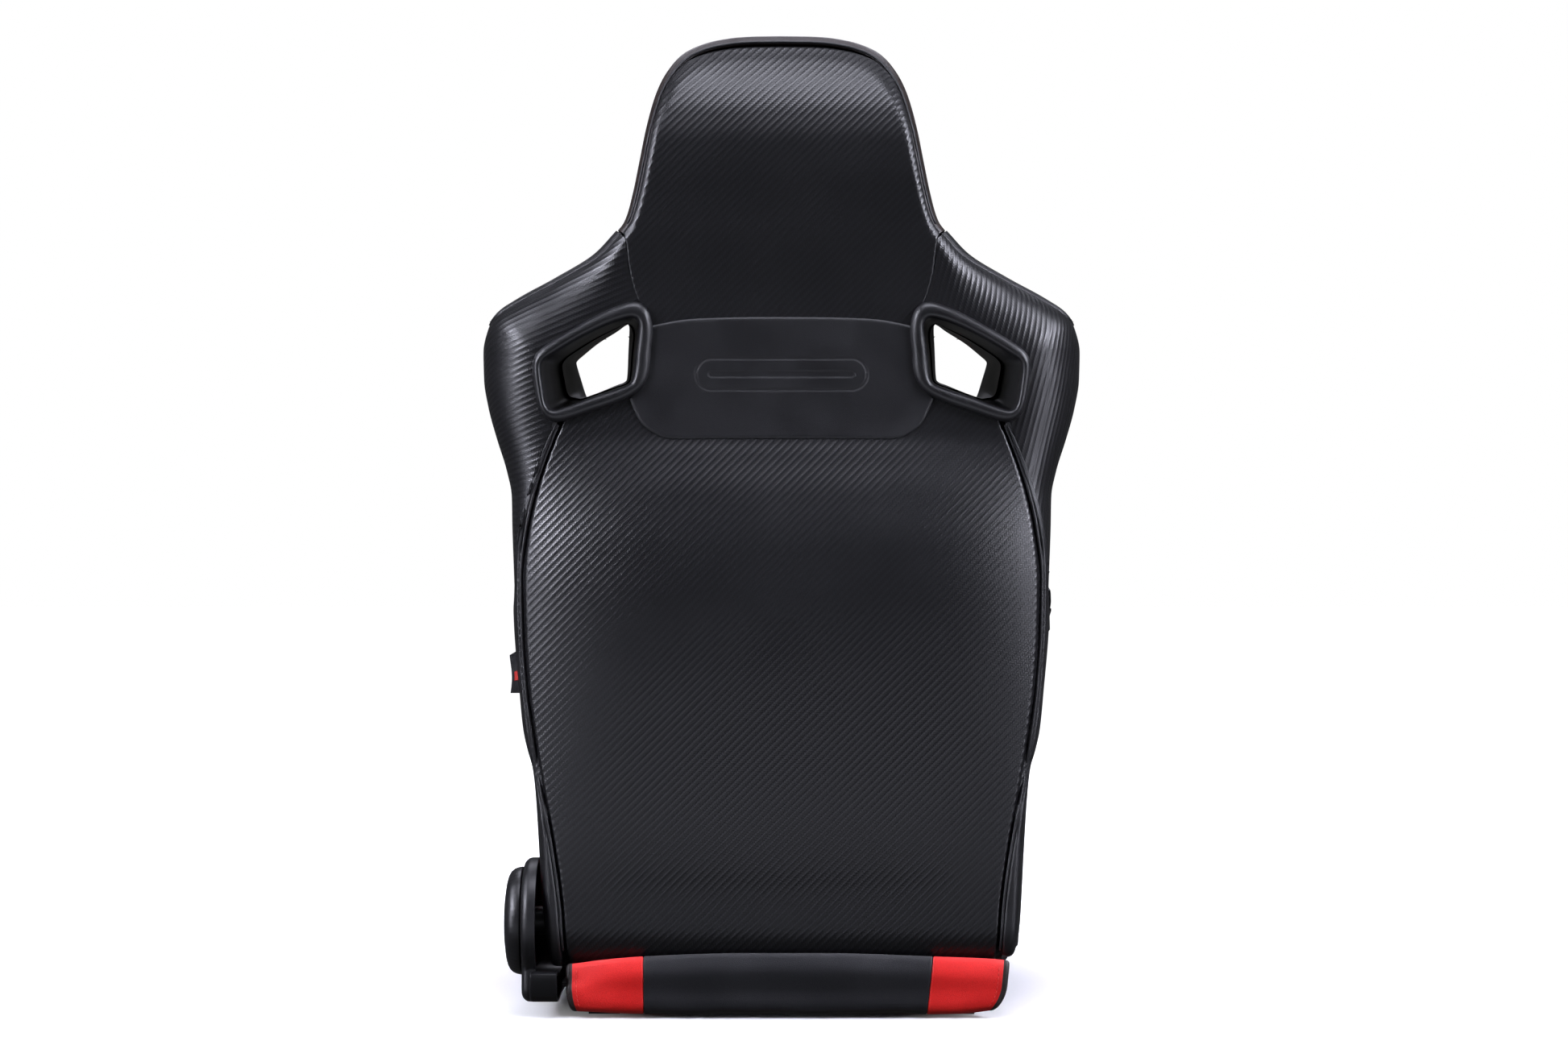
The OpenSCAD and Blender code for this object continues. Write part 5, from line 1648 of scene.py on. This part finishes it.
def softbox(name, at, aim, size, power, spread=180):
    """A rectangular lamp aimed at a point."""
    data = bpy.data.lights.new(name, "AREA")
    data.shape = "RECTANGLE"
    data.size, data.size_y = size
    data.energy = power
    data.color = LAMP
    data.spread = math.radians(spread)
    made = linked(name, data)
    made.location = at
    made.rotation_euler = (Vector(aim) - Vector(at)).to_track_quat("-Z", "Y").to_euler()


def studio():
    """White backdrop, pale floor and lamps."""
    world = bpy.data.worlds.new("studio")
    bpy.context.scene.world = world
    world.use_nodes = True
    background = world.node_tree.nodes["Background"]
    background.inputs["Color"].default_value = (1, 1, 1, 1)
    background.inputs["Strength"].default_value = WORLD_LIGHT
    seen = world.node_tree.nodes.new("ShaderNodeBackground")
    seen.inputs["Color"].default_value = (1, 1, 1, 1)
    seen.inputs["Strength"].default_value = WORLD_SEEN
    path = world.node_tree.nodes.new("ShaderNodeLightPath")
    mix = world.node_tree.nodes.new("ShaderNodeMixShader")
    link = world.node_tree.links.new
    link(path.outputs["Is Camera Ray"], mix.inputs[0])
    link(background.outputs[0], mix.inputs[1])
    link(seen.outputs[0], mix.inputs[2])
    link(mix.outputs[0], world.node_tree.nodes["World Output"].inputs["Surface"])

    data = bpy.data.meshes.new("floor")
    reach = 14.0
    corners = [(-reach, -reach, 0), (reach, -reach, 0), (reach, reach, 0), (-reach, reach, 0)]
    data.from_pydata(corners, [], [(0, 1, 2, 3)])
    floor = linked("floor", data)
    m = Finish("studio_floor", Roughness=0.6, Specular_IOR_Level=0.2)
    m.shader.inputs["Base Color"].default_value = (0.92, 0.92, 0.93, 1)
    cloud = m.noise(2.0, 2)
    m.set("Roughness", m.spread(cloud, 0, 1, 0.55, 0.7))
    # The floor glows more strongly away from the seat: painted light that fades it into the white backdrop
    away = m.node("ShaderNodeVectorMath", {0: m.place()}, operation="LENGTH").outputs["Value"]
    m.set("Emission Strength", m.spread(away, 0.24, 0.55, 0.0, 1.0))
    m.shader.inputs["Emission Color"].default_value = (1, 1, 1, 1)
    floor.visible_diffuse = False
    floor.visible_glossy = False
    data.materials.append(m.material)

    for side, key, high in ((1, 3.4, 32), (-1, 3.1, 55)):
        softbox("key_box", (side * 2.75, 1.7, 1.85), (0, 0.2, 0.32), (0.7, 0.9), key, 26)
        softbox("side_box", (side * 2.4, 0.5, 2.3), (0, 0.1, 0.5), (1.0, 1.2), high)
        softbox("wing_box", (side * 2.7, 1.4, 0.35), (0, 0.2, 0.5), (0.6, 0.9), 18)
    softbox("overhead", (0, 0.9, 3.0), (0, 0.2, 0.6), (1.8, 0.7), 45)
    softbox("front_fill", (0, -1.8, 3.0), (0, 0, 0.5), (2.4, 1.2), 45)
    # A low light behind the seat that faces up
    softbox("floor_card", (0, 0.8, 0.01), (0, 0.8, 1), (1.8, 0.6), 3.6)


# ---------------------------------------------------------------- assembly

rear_panel()
rear_band()
head_rear()
head_welt()
head_front()
for side_name, side_sign in SIDES.items():
    shoulder_wing(side_name, side_sign)
    side_cover(side_name, side_sign)
    rear_piping(side_name, side_sign)
    slot_bezel(side_name, side_sign)
    front_bezel(side_name, side_sign)
    shoulder_front(side_name, side_sign)
    back_bolster(side_name, side_sign)
    cushion_bolster(side_name, side_sign)
back_insert()
chest()
side_label()
add_foam("back_foam_pad", "back_foam", "back")
add_foam("cushion_foam_pad", "cushion_foam", "base")
cushion_insert()
cushion_tail()
mechanism()
camera()
studio()
bpy.context.scene.view_settings.view_transform = "Standard"

bpy.context.view_layer.update()
